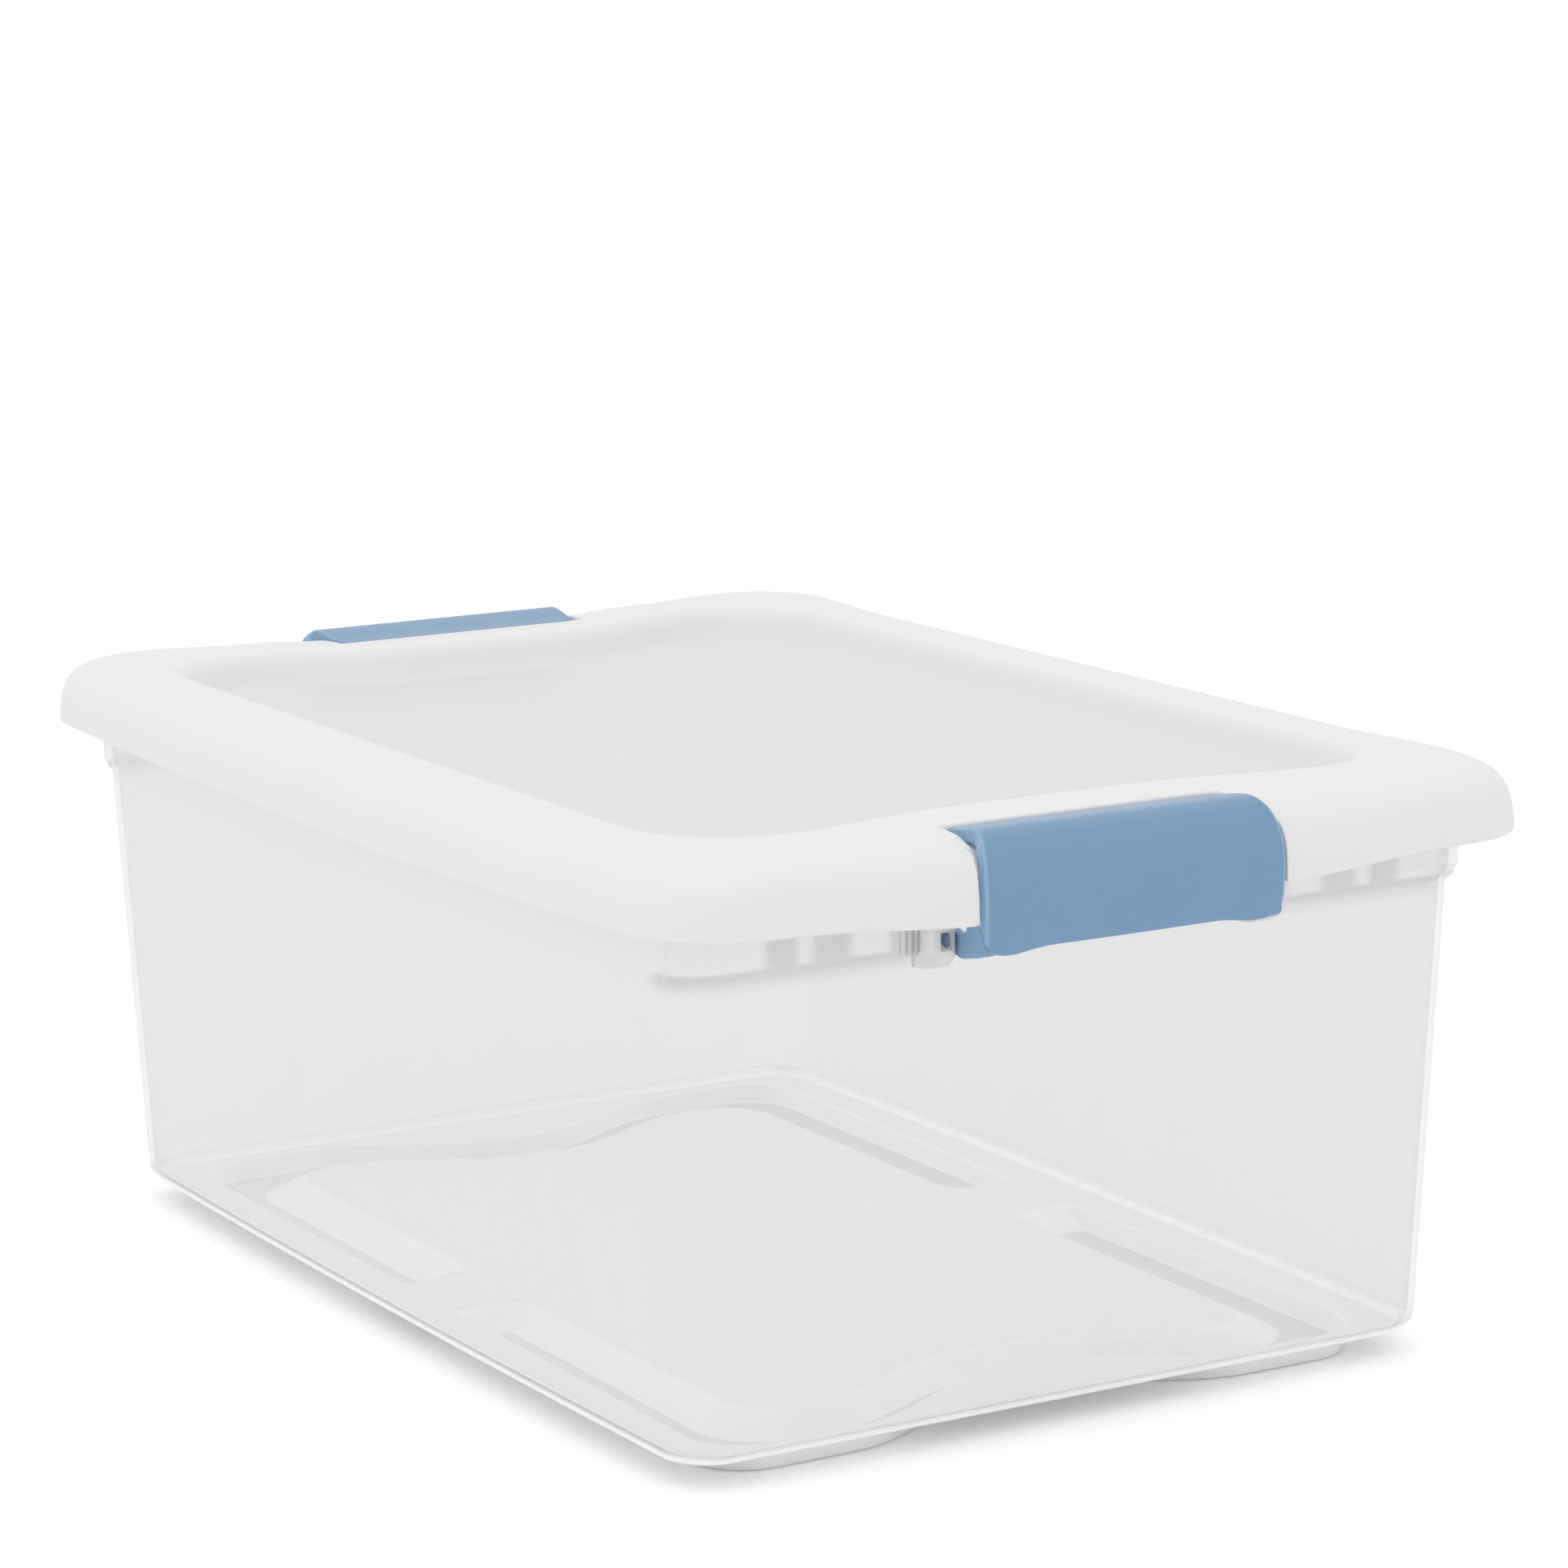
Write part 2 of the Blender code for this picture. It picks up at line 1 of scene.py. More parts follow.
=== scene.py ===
"""Latching storage box: a clear tub, a white lid and two blue latches, all of moulded plastic.

The box stands on z = 0, centred on the origin. Its long sides run along X and its latches sit on
the two ends: "front" is the +X end, "rear" the -X end. Shape functions work in millimetres;
meshes are scaled to metres as they are made.
"""

import json
import math

import bmesh
import bpy
import numpy as np
from mathutils import Matrix, Vector


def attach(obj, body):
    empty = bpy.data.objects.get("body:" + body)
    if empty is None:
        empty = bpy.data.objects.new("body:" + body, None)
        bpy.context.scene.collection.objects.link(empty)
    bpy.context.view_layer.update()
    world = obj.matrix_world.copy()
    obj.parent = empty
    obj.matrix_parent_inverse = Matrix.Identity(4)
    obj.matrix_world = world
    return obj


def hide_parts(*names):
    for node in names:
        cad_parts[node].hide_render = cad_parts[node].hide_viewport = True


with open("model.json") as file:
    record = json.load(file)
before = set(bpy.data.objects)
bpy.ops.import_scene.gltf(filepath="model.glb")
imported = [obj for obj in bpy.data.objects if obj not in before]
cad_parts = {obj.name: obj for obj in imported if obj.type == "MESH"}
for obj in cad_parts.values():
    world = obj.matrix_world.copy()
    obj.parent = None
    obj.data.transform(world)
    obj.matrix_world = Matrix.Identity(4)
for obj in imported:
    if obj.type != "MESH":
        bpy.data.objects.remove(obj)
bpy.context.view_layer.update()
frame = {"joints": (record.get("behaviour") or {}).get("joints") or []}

MM = 0.001

# ---------------------------------------------------------------- dimensions (mm)
LID_HALF_L, LID_HALF_W, LID_R = 215.0, 142.1, 30.5
LID_WAIST = 1.4  # how far the middle of each lid end is drawn in
BAY_DEPTH, BAY_HALF = 2.3, 49.1  # recess of the lid ends under the latches
BAY_EDGE = 0.6  # width of the step at the side of a recess
LID_CREST_Z, LID_PANEL_Z, LID_T = 175.9, 165.0, 2.2
SKIRT_CORNER_Z, SKIRT_LONG_DROP, SKIRT_SHORT_DROP = 156.7, 3.0, 4.3

BASE_Z, WALL_T = 6.0, 1.8
BASE_HALF_L, BASE_HALF_W, BASE_R = 184.2, 124.5, 16.0
TAPER_L, TAPER_W, TAPER_R = 0.0475, 0.0458, 0.015  # growth per mm of height
WALL_BOW = 1.9
GAP_IN, GAP_OUT = 14.0, 31.0  # |x| over which the foot fades in on the long sides
COLLAR_Z0, COLLAR_Z1, COLLAR_OUT = 139.8, 142.2, 3.0
FLANGE_Z, FLANGE_T = 167.2, 2.0
PADS = ((65.0, 76.0), (87.5, 93.0), (103.0, 140.0))  # raised fields of the collar, |y|
PAD_RISE, PAD_Z = 0.8, 143.6

PIN_R, SOCKET_R = 1.9, 2.24
BRACKET_Y0, BRACKET_Y1, BRACKET_X = 49.1, 56.2, 201.0
hinge = next(j for j in frame["joints"] if j["name"] == "latch_front_hinge")
PIVOT_X, PIVOT_Z = 1000 * hinge["pos_m"][0], 1000 * hinge["pos_m"][2]


def smooth(t):
    t = np.clip(t, 0.0, 1.0)
    return t * t * (3 - 2 * t)


def step(value, edge, width):
    """0 below the edge and 1 above it, eased over a width centred on the edge."""
    return smooth((value - edge + width / 2) / width)


def pad_fields(away, width):
    """1 where away = |y| lies within a pad, eased over the width."""
    return sum(step(away, low, width) * (1 - step(away, high, width)) for low, high in PADS)


# ---------------------------------------------------------------- stations round a ring
END, SIDE, CORNER = range(3)  # kinds of station: short ends, long sides, corners
END_KEPT, END_REACH = 56.0, 105.0  # |y| of end stations: unmoved up to, stretched up to
SIDE_KEPT, SIDE_REACH = 40.0, 166.0  # the same for |x| of side stations


def mirrored_places(reach, spacing, extra):
    """Even and extra places on both sides of 0, without those crowding the one before."""
    places = list(np.arange(0.0, reach + 1e-6, spacing)) + [e for e in extra if e <= reach]
    kept = []
    for place in sorted(set(round(float(v), 4) for v in places)):
        if not kept or place - kept[-1] >= 0.09:
            kept.append(place)
    both_ways = sorted(set([-v for v in kept] + kept))
    return [v for v in both_ways if abs(v) < reach - 0.1]


def station_table():
    """Rows of kind, place (mm, or degrees in a corner), sign and, in a corner, sign of y."""
    bay_edges = list(np.arange(44.2, 52.4, 0.22))
    offsets = (-0.8, -0.4, -0.2, 0.0, 0.2, 0.4, 0.8)
    pad_edges = [edge + d for edge in (65.0, 76.0, 87.5, 93.0, 103.0) for d in offsets]
    gap_edges = [GAP_IN, GAP_OUT] + list(np.arange(10.0, 36.0, 1.5))
    ys = mirrored_places(END_REACH, 2.5, bay_edges + pad_edges)
    xs = mirrored_places(SIDE_REACH, 5.0, gap_edges)
    angles = np.linspace(0.0, 90.0, 29)
    rows = []
    for sign in (1, -1):
        rows += [(END, y, sign, 0) for y in ys[::sign]]
        rows += [(CORNER, angle, sign, sign) for angle in angles]
        rows += [(SIDE, x, sign, 0) for x in xs[::-sign]]
        rows += [(CORNER, angle, -sign, sign) for angle in angles]
    return np.array(rows, float)


KIND, PLACE, SIGN, SIGN_Y = station_table().T
COUNT = len(KIND)
AT_END, AT_SIDE, AT_CORNER = KIND == END, KIND == SIDE, KIND == CORNER


def spread(place, kept, reach, room):
    """Leaves places up to kept, and stretches the rest so that reach lands on room."""
    away = np.abs(place)
    stretched = kept + (away - kept) * (room - kept) / (reach - kept)
    return np.sign(place) * np.where(away <= kept, away, stretched)


def waist(y, flat, end):
    """1 up to |y| = flat, falling along a cosine to 0 at |y| = end."""
    away = np.abs(y)
    fall = 0.5 + 0.5 * np.cos(np.pi * (away - flat) / (end - flat))
    return np.where(away <= flat, 1.0, np.where(away >= end, 0.0, fall))


def ring(half_l, half_w, corner_r, z, mid=None, flat=30.0, end=108.0, bow=0.0, push=0.0,
         gate=0.0, bay=0.0, bay_half=0.0, pads=0.0, lift=0.0):
    """Points (COUNT, 3) of a rounded rectangle; z is a number or a function of x and y.

    mid: half length at the middle of the ends, kept up to |y| = flat and gone by end
    bow: swell of the long sides at their middle
    push, gate: outward shift of the ends beyond |y| = gate
    bay, bay_half: depth and half width of a recess in the ends
    pads: how far the pad fields stand out
    lift: extra height towards the corners
    """
    mid = half_l if mid is None else mid
    x, y = np.zeros(COUNT), np.zeros(COUNT)

    along = spread(PLACE[AT_END], END_KEPT, END_REACH, half_w - corner_r)
    away = np.abs(along)
    out = half_l + (mid - half_l) * waist(along, flat, min(end, half_w - corner_r))
    out = out + push * step(away, gate, 0.8)
    out = out - bay * (1 - smooth((away - bay_half) / BAY_EDGE))
    out = out + pads * pad_fields(away, 0.7)
    x[AT_END], y[AT_END] = SIGN[AT_END] * out, along

    along = spread(PLACE[AT_SIDE], SIDE_KEPT, SIDE_REACH, half_l - corner_r)
    out = half_w + bow * (1 - (along / (half_l - corner_r)) ** 2)
    x[AT_SIDE], y[AT_SIDE] = along, SIGN[AT_SIDE] * out

    sign_x, sign_y, place = SIGN[AT_CORNER], SIGN_Y[AT_CORNER], PLACE[AT_CORNER]
    angle = np.where(sign_x * sign_y > 0, place, 90.0 - place)
    turn = np.radians(angle)
    grow = (push + pads) * (1 - smooth((angle - 50.0) / 8.0))
    x[AT_CORNER] = sign_x * (half_l - corner_r + (corner_r + grow) * np.cos(turn))
    y[AT_CORNER] = sign_y * (half_w - corner_r + (corner_r + grow) * np.sin(turn))

    cornerward = np.minimum((np.abs(x) - 128.0) / 45.0, (np.abs(y) - 70.0) / 40.0)
    height = (z(x, y) if callable(z) else z) + lift * smooth(cornerward)
    return np.stack([x, y, height], axis=1)


# ---------------------------------------------------------------- mesh building
def quadratic(start, control, end, steps):
    """Points of a quadratic curve, both ends included."""
    shares = [i / steps for i in range(steps + 1)]
    return [(1 - u) ** 2 * start + 2 * u * (1 - u) * control + u * u * end for u in shares]


def fillet(keys):
    """Rings from (ring, radius) keys: all but the end ones are rounded by that radius."""
    rings = [key[0] for key in keys]
    out = [rings[0]]
    for before, (here, radius), after in zip(rings, keys[1:-1], rings[2:]):
        back = np.linalg.norm(here - before, axis=1)
        ahead = np.linalg.norm(after - here, axis=1)
        cut = np.minimum(radius, 0.485 * np.minimum(back, ahead))[:, None]
        start = here + (before - here) / np.maximum(back, 1e-9)[:, None] * cut
        end = here + (after - here) / np.maximum(ahead, 1e-9)[:, None] * cut
        out += quadratic(start, here, end, 5)
    return out + [rings[-1]]


def tube_faces(rows, count):
    """Quads between successive closed rows of count points."""
    faces = []
    for k in range(rows - 1):
        a, b = k * count, (k + 1) * count
        for i in range(count):
            j = (i + 1) % count
            faces.append((a + i, a + j, b + j, b + i))
    return faces


def loft(rings, z_first, z_last):
    """A skin over the rings, closed by fans to points on the Z axis."""
    verts = np.concatenate(rings + [np.array([[0, 0, z_first], [0, 0, z_last]], float)])
    faces = tube_faces(len(rings), COUNT)
    last = (len(rings) - 1) * COUNT
    centre = last + COUNT
    faces += [(centre, (i + 1) % COUNT, i) for i in range(COUNT)]
    faces += [(centre + 1, last + i, last + (i + 1) % COUNT) for i in range(COUNT)]
    return verts, faces


def prism(section, y0, y1, bevel=0.0):
    """A polygon in (x, z) drawn along Y, its ends drawn in by the bevel."""
    section = np.array(section, float)
    count = len(section)
    centre = section.mean(axis=0)
    spokes = section - centre
    reach = np.maximum(np.linalg.norm(spokes, axis=1), bevel * 1.5)
    rows = [(section, y0), (section, y1)]
    if bevel > 0:
        small = centre + spokes * (1 - bevel / reach)[:, None]
        medium = centre + spokes * (1 - 0.3 * bevel / reach)[:, None]
        rows = [
            (small, y0), (medium, y0 + 0.3 * bevel), (section, y0 + bevel),
            (section, y1 - bevel), (medium, y1 - 0.3 * bevel), (small, y1),
        ]
    verts = np.concatenate(
        [np.stack([row[:, 0], np.full(count, y), row[:, 1]], axis=1) for row, y in rows]
    )
    faces = tube_faces(len(rows), count)
    faces.append(tuple(reversed(range(count))))
    last = (len(rows) - 1) * count
    faces.append(tuple(last + i for i in range(count)))
    return verts, faces


def round_poly(points, radius, steps=4):
    """A closed (x, z) polygon with its corners rounded."""
    points = np.array(points, float)
    out = []
    for k, corner in enumerate(points):
        before, after = points[k - 1], points[(k + 1) % len(points)]
        back, ahead = np.linalg.norm(before - corner), np.linalg.norm(after - corner)
        cut = min(radius, 0.45 * back, 0.45 * ahead)
        start = corner + (before - corner) / back * cut
        end = corner + (after - corner) / ahead * cut
        out += quadratic(start, corner, end, steps)
    return np.array(out)


def pivot_arc(radius, angles):
    """(x, z) points round the latch pivot."""
    return [(PIVOT_X + radius * math.cos(t), PIVOT_Z + radius * math.sin(t)) for t in angles]


def pivot_circle(radius, count):
    return pivot_arc(radius, np.linspace(0, 2 * math.pi, count + 1)[:-1])


def merge(parts):
    verts, faces, start = [], [], 0
    for part_verts, part_faces in parts:
        verts.append(part_verts)
        faces += [tuple(i + start for i in face) for face in part_faces]
        start += len(part_verts)
    return np.concatenate(verts), faces


def mirror(part, axis):
    verts, faces = part
    verts = np.array(verts, float)
    verts[:, axis] *= -1
    return verts, [tuple(reversed(face)) for face in faces]


def with_twin(part):
    """The part and its mirror image across the XZ plane."""
    return merge([part, mirror(part, 1)])


def at_end(part, side):
    """A part drawn at the +X end, moved to the end named by side."""
    return mirror(part, 0) if side == "rear" else part


def outward(mesh):
    """Turns every face out, by the sign of the enclosed volume of the whole mesh."""
    work = bmesh.new()
    work.from_mesh(mesh)
    bmesh.ops.recalc_face_normals(work, faces=work.faces)
    if work.calc_volume(signed=True) < 0:
        bmesh.ops.reverse_faces(work, faces=work.faces)
    work.to_mesh(mesh)
    work.free()


def shade_smooth(mesh, sharp_angle=None):
    mesh.polygons.foreach_set("use_smooth", [True] * len(mesh.polygons))
    if sharp_angle is not None:
        mesh.set_sharp_from_angle(angle=math.radians(sharp_angle))


def make(name, part, mat=None, body=None, sharp_angle=None):
    """An object from a part's (verts, faces) in mm, riding on the body if one is named."""
    verts, faces = part
    mesh = bpy.data.meshes.new(name)
    mesh.from_pydata((np.asarray(verts, float) * MM).tolist(), [], faces)
    mesh.validate()
    obj = bpy.data.objects.new(name, mesh)
    bpy.context.scene.collection.objects.link(obj)
    outward(mesh)
    shade_smooth(mesh, sharp_angle)
    if mat is not None:
        mesh.materials.append(mat)
    if body is not None:
        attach(obj, body)
    return obj


# ---------------------------------------------------------------- tub
def wall_half_l(z):
    return BASE_HALF_L + (z - BASE_Z) * TAPER_L


def bowed(half_l, half_w, corner_r, z, **shape):
    return ring(half_l, half_w, corner_r, z, bow=WALL_BOW, **shape)


def wall(z, inset=0.0, **shape):
    """A ring of the tapering wall, moved in by the inset."""
    half_w = BASE_HALF_W + (z - BASE_Z) * TAPER_W
    corner_r = BASE_R + (z - BASE_Z) * TAPER_R
    return bowed(wall_half_l(z) - inset, half_w - inset, corner_r - inset, z, **shape)


def under(half_l, half_w, corner_r, z, mid):
    """A ring of the tub's underside, with narrowly waisted ends."""
    return ring(half_l, half_w, corner_r, z, mid=mid, flat=6.0, end=66.0)


def foot_z(high, low):
    """Height of a foot ring: low, but high at the middle of the long sides."""

    def z(x, y):
        fade = smooth((np.abs(x) - GAP_IN) / (GAP_OUT - GAP_IN))
        return np.where(AT_SIDE, high + (low - high) * fade, low)

    return z


def tub_keys():
    """(ring, fillet radius) from the middle of the underside out, up, over and back inside."""
    foot, foot_in = foot_z(6.2, 0.0), foot_z(7.8, 1.8)
    collar = dict(gate=BAY_HALF, push=COLLAR_OUT - 0.6)
    collar_in = dict(gate=BAY_HALF + WALL_T, push=COLLAR_OUT - 0.6)
    flange_low = FLANGE_Z - FLANGE_T
    flange = dict(mid=202.5, flat=52.0)
    heights = (20.0, 36.0, 80.0, 136.6)
    return [
        # underside and foot
        (under(148.0, 81.0, 18.0, 6.2, mid=126.0), 0),
        (under(153.0, 86.5, 18.0, 6.2, mid=132.0), 3.0),
        (under(161.0, 97.0, 20.0, foot, mid=141.5), 1.6),
        (under(174.0, 108.5, 18.0, foot, mid=152.0), 1.4),
        (under(175.8, 110.3, 19.0, BASE_Z, mid=153.8), 0.8),
        (bowed(179.7, 120.0, 12.0, BASE_Z), 2.5),
        (bowed(182.9, 123.2, 14.8, 7.3), 2.0),
        # outer wall, collar and flange
        (wall(10.5), 3.0),
        *[(wall(z), 0.1) for z in heights],
        (wall(COLLAR_Z0), 0.5),
        (wall(COLLAR_Z1, **collar), 0.6),
        (wall(PAD_Z, **collar), 0.3),
        (wall(PAD_Z + 0.6, pads=PAD_RISE, **collar), 0.4),
        (wall(flange_low, pads=PAD_RISE, **collar), 0.8),
        (ring(205.0, 137.0, 22.0, flange_low, **flange), 0.6),
        (ring(205.0, 137.0, 22.0, FLANGE_Z, **flange), 0.6),
        # inner wall
        (wall(FLANGE_Z, WALL_T, **collar_in), 1.2),
        (wall(COLLAR_Z1 + 0.7, WALL_T, **collar_in), 1.0),
        (wall(COLLAR_Z0 + 0.7, WALL_T), 1.0),
        *[(wall(z, WALL_T), 0.1) for z in reversed(heights)],
        (wall(12.0, WALL_T), 4.0),
        # floor, with the foot's channel
        (bowed(181.4, 121.7, 13.4, 9.0), 2.0),
        (bowed(178.9, 119.2, 11.0, 7.8), 2.0),
        (under(174.2, 108.7, 18.0, 7.8, mid=152.2), 1.0),
        (under(172.4, 106.9, 17.0, foot_in, mid=150.4), 1.0),
        (under(169.8, 104.6, 18.0, foot_in, mid=148.4), 0.4),
        (under(163.4, 98.9, 19.4, foot_in, mid=143.2), 0.4),
        (under(160.3, 96.3, 20.0, foot_in, mid=140.8), 2.0),
        (under(151.6, 85.0, 18.0, 7.9, mid=130.6), 2.6),
        (under(147.0, 80.0, 17.0, 7.9, mid=125.0), 0),
    ]


def tub_ribs():
    """Thin upright ribs beside the latch brackets of the +X end."""
    root = wall_half_l(COLLAR_Z1) + COLLAR_OUT - 1.2
    outline = [(root, 141.8), (root + 1.9, 142.6), (root + 2.4, 165.0), (root, 165.0)]
    section = round_poly(outline, 0.6)
    return with_twin(merge([prism(section, y, y + 0.8, 0.25) for y in (56.9, 58.8, 60.7)]))


def make_brackets(side):
    """The two latch brackets of one end: blocks with a blind round socket and an outward mouth."""
    root = wall_half_l(COLLAR_Z1) - 0.9
    block = round_poly([
        (root, 137.8), (197.5, 138.6), (BRACKET_X, 141.6),
        (BRACKET_X, 149.9), (BRACKET_X - 1.0, 150.7), (root, 150.7),
    ], 1.1)
    mouth = round_poly([
        (PIVOT_X + 0.4, 143.8), (209.0, 143.8), (209.0, 149.1), (PIVOT_X + 0.4, 149.1),
    ], 0.5)
    cuts = (
        prism(pivot_circle(SOCKET_R, 48), BRACKET_Y0 - 2, 52.4),
        prism(mouth, 50.1, 53.8),
    )
    name = "tub_brackets_" + side
    solid = with_twin(prism(block, BRACKET_Y0, BRACKET_Y1, 0.4))
    made = make(name, at_end(solid, side), mat=bracket_mat, body="tub")
    for k, cut in enumerate(cuts):
        cutter = make(name + "_cut%d" % k, at_end(with_twin(cut), side))
        mod = made.modifiers.new("cut", "BOOLEAN")
        mod.object = cutter
        mod.operation = "DIFFERENCE"
        mod.solver = "EXACT"
        bpy.context.view_layer.update()
        graph = bpy.context.evaluated_depsgraph_get()
        whole = bpy.data.meshes.new_from_object(made.evaluated_get(graph))
        made.modifiers.clear()
        made.data = whole
        bpy.data.objects.remove(cutter, do_unlink=True)
    shade_smooth(made.data, 40)
    return made


# ---------------------------------------------------------------- lid
def skirt_z(x, y):
    """Height of the skirt's lower edge: lower mid-side, stepped up across the recess."""
    side_drop = SKIRT_LONG_DROP * np.maximum(0.0, 1 - (x / 184.5) ** 2)
    away = np.abs(y)
    past = np.clip(away - BAY_HALF - 0.1, 0.0, 2.0)
    arc = 2.0 - np.sqrt(np.maximum(0.0, 4.0 - (2.0 - past) ** 2))
    rise = np.where(away > BAY_HALF + 0.1, arc, 1.9)
    end_z = SKIRT_CORNER_Z - SKIRT_SHORT_DROP * waist(y, 40.0, 111.0) + rise
    side_z = SKIRT_CORNER_Z - side_drop
    return np.where(AT_END, end_z, np.where(AT_SIDE, side_z, SKIRT_CORNER_Z))


def notch(high, near, low, half, edge=BAY_EDGE):
    """Height of a lid ring: high far from the end's notch, near beside it, low inside it."""

    def z(x, y):
        away = np.abs(y)
        beside = near + (high - near) * smooth((away - 47.0) / 20.0)
        return np.where(AT_END, low + (beside - low) * smooth((away - half) / edge), high)

    return z


def lid_keys():
    """(ring, fillet radius) from the panel's top out over the crest, round the skirt and back."""
    length, width, middle = LID_HALF_L, LID_HALF_W, LID_HALF_L - LID_WAIST
    bay, half = BAY_DEPTH, BAY_HALF
    inner = BAY_HALF + 2.2  # where the underside steps
    panel, below = LID_PANEL_Z, LID_PANEL_Z - LID_T
    crest = LID_CREST_Z
    full = 9  # a fillet as large as fits
    # half length, half width, corner radius, mid, bay, bay half, lift, z, fillet
    rows = [
        (160.0, 96.0, 18.0, 146.0, 0, 0, 0, panel, 0),
        (167.0, 103.0, 20.0, 154.0, 0, 0, 0, panel, 4.0),
        (170.5, 107.0, 23.0, 157.5, 0, 0, 0, 166.3, full),
        (174.0, 112.0, 26.0, 161.5, 0, 0, 0.2, 170.6, full),
        (176.8, 116.2, 28.0, 165.0, 0, 0, 0.5, 174.4, full),
        (179.5, 119.5, 29.0, 168.5, 0, 0, 0.6, notch(crest, 175.5, 175.4, 45.0, 4.0), full),
        (187.0, 126.3, 24.0, 184.8, 0, 0, 0.6, notch(crest, 174.6, 174.3, 45.0, 3.0), 0.9),
        (188.0, 127.3, 23.5, 185.7, 0, 0, 0.6, notch(crest - 0.05, 174.5, 171.2, 44.6), 0.8),
        (194.0, 129.6, 24.0, 192.6, 0.6, 45.0, 0.8, notch(175.5, 174.2, 171.3, 45.0), full),
        (200.0, 131.8, 25.0, 198.7, 1.2, 45.2, 1.2, notch(174.8, 173.7, 171.2, 45.2), full),
        (206.3, 135.0, 26.5, 205.0, 2.0, 46.4, 1.5, notch(173.2, 172.5, 170.9, 46.4), full),
        (length - 3.4, width - 3.4, 28.5, middle - 3.4, bay, 48.0, 1.7,
         notch(170.3, 170.0, 169.5, 48.0), full),
        (length - 0.9, width - 0.9, 30.0, middle - 0.9, bay, 48.7, 1.0, 166.0, full),
        (length, width, LID_R, middle, bay, half, 0, 160.8, full),
        # lower edge of the skirt, then the underside
        (length + 0.2, width + 0.2, LID_R + 0.2, middle + 0.2, bay, half, 0, skirt_z, 0.8),
        (length - 1.8, width - 1.8, LID_R - 1.8, middle - 1.8, bay, inner, 0, skirt_z, 0.5),
        (length - 2.2, width - 2.2, LID_R - 2.2, middle - 2.2, bay, inner, 0, 160.6, full),
        (length - 3.0, width - 3.0, 28.0, middle - 3.0, bay, inner, 0.8, 165.3, full),
        (length - 5.1, width - 4.9, 27.0, middle - 5.1, bay, inner, 1.1, 168.4, full),
        (206.6, 136.1, 26.0, 205.3, 2.2, inner, 1.1, 170.0, 0.4),
        (206.2, 135.9, 26.0, 204.7, 2.0, inner, 0, 167.5, 0.3),
        (204.2, 133.9, 25.0, 202.7, 2.0, inner, 0, 167.5, 0.3),
        (203.8, 133.7, 25.0, 202.3, 2.0, inner, 1.0, notch(171.3, 171.3, 169.4, inner), 0.4),
        (199.6, 131.3, 24.6, 198.4, 1.2, inner, 0.9, notch(172.6, 172.6, 169.5, inner), full),
        (193.8, 129.3, 24.0, 192.4, 0.6, inner, 0.7, notch(173.3, 173.3, 169.4, inner), full),
        (186.0, 125.0, 24.0, 183.6, 0, 0, 0.5, notch(173.7, 173.7, 169.2, inner), 0.8),
        (185.0, 124.0, 24.5, 182.6, 0, 0, 0.5, 173.7, 0.8),
        (180.0, 119.9, 29.0, 169.0, 0, 0, 0.5, 173.7, full),
        (178.4, 117.8, 28.0, 166.6, 0, 0, 0.4, 172.6, full),
        (175.5, 113.5, 26.5, 163.0, 0, 0, 0.1, 168.8, full),
        (171.6, 108.1, 23.4, 158.6, 0, 0, 0, 164.1, full),
        (167.6, 103.6, 20.2, 154.6, 0, 0, 0, below, 3.0),
        (160.0, 96.0, 18.0, 146.0, 0, 0, 0, below, 0),
    ]
    return [
        (ring(half_l, half_w, corner_r, z, mid=mid, bay=depth, bay_half=bay_half, lift=lift),
         radius)
        for half_l, half_w, corner_r, mid, depth, bay_half, lift, z, radius in rows
    ]


# ---------------------------------------------------------------- latch, drawn at the +X end
# outer and inner outline of the shell in (x, z): up the face, then inward along the lip
SHELL_OUT = np.array([
    (213.8, 144.5), (214.8, 148.6), (215.3, 154.0), (215.3, 159.5), (214.6, 165.0),
    (212.9, 169.8), (209.9, 173.8), (206.4, 175.8), (202.4, 176.3), (197.0, 175.6),
    (191.5, 174.6), (186.1, 173.9),
])
SHELL_IN = np.array([
    (211.5, 144.7), (212.3, 149.0), (212.7, 154.0), (212.7, 159.3), (212.2, 164.0),
    (210.8, 168.4), (208.3, 171.9), (205.6, 173.6), (202.2, 173.9), (197.0, 173.5),
    (191.5, 173.0), (186.1, 172.75),
])
LATCH_HALF = 48.4  # greatest half width
LIP_X, LIP_HALF = 186.1, 41.2  # tip of the lip
END_ROUND, RIM = 1.0, 1.6  # rounding and rim width of the shell's two ends
TIP_ROUND = 0.8  # rounding of the lip and of the lower edge

# half width of the shell: (z, half width) up the face, (x, half width) along the lip
FACE_W = (
    (144.5, 45.4), (145.3, 46.7), (146.5, 47.7), (148.0, 48.2), (150.0, LATCH_HALF),
    (163.0, LATCH_HALF), (167.0, 48.0), (170.8, 47.4), (173.5, 46.6), (175.1, 45.6),
)
LIP_W = (
    (203.0, 44.6), (197.0, 44.4), (191.0, 44.1), (188.5, 43.6), (187.1, 42.7), (LIP_X, LIP_HALF),
)


def dense_path(path):
    """240 even points of a Catmull-Rom curve through the path, and the curve's length."""
    points = np.vstack([2 * path[0] - path[1], path, 2 * path[-1] - path[-2]])
    curve = []
    for a, b, c, d in zip(points, points[1:], points[2:], points[3:]):
        for i in range(24):
            u = i / 24
            curve.append(0.5 * (
                2 * b + (c - a) * u
                + (2 * a - 5 * b + 4 * c - d) * u * u
                + (3 * b - a - 3 * c + d) * u**3
            ))
    curve.append(path[-1])
    curve = np.array(curve)
    run = np.concatenate([[0], np.cumsum(np.linalg.norm(np.diff(curve, axis=0), axis=1))])
    even = np.linspace(0, run[-1], 240)
    columns = [np.interp(even, run, curve[:, k]) for k in (0, 1)]
    return np.stack(columns, axis=1), run[-1]


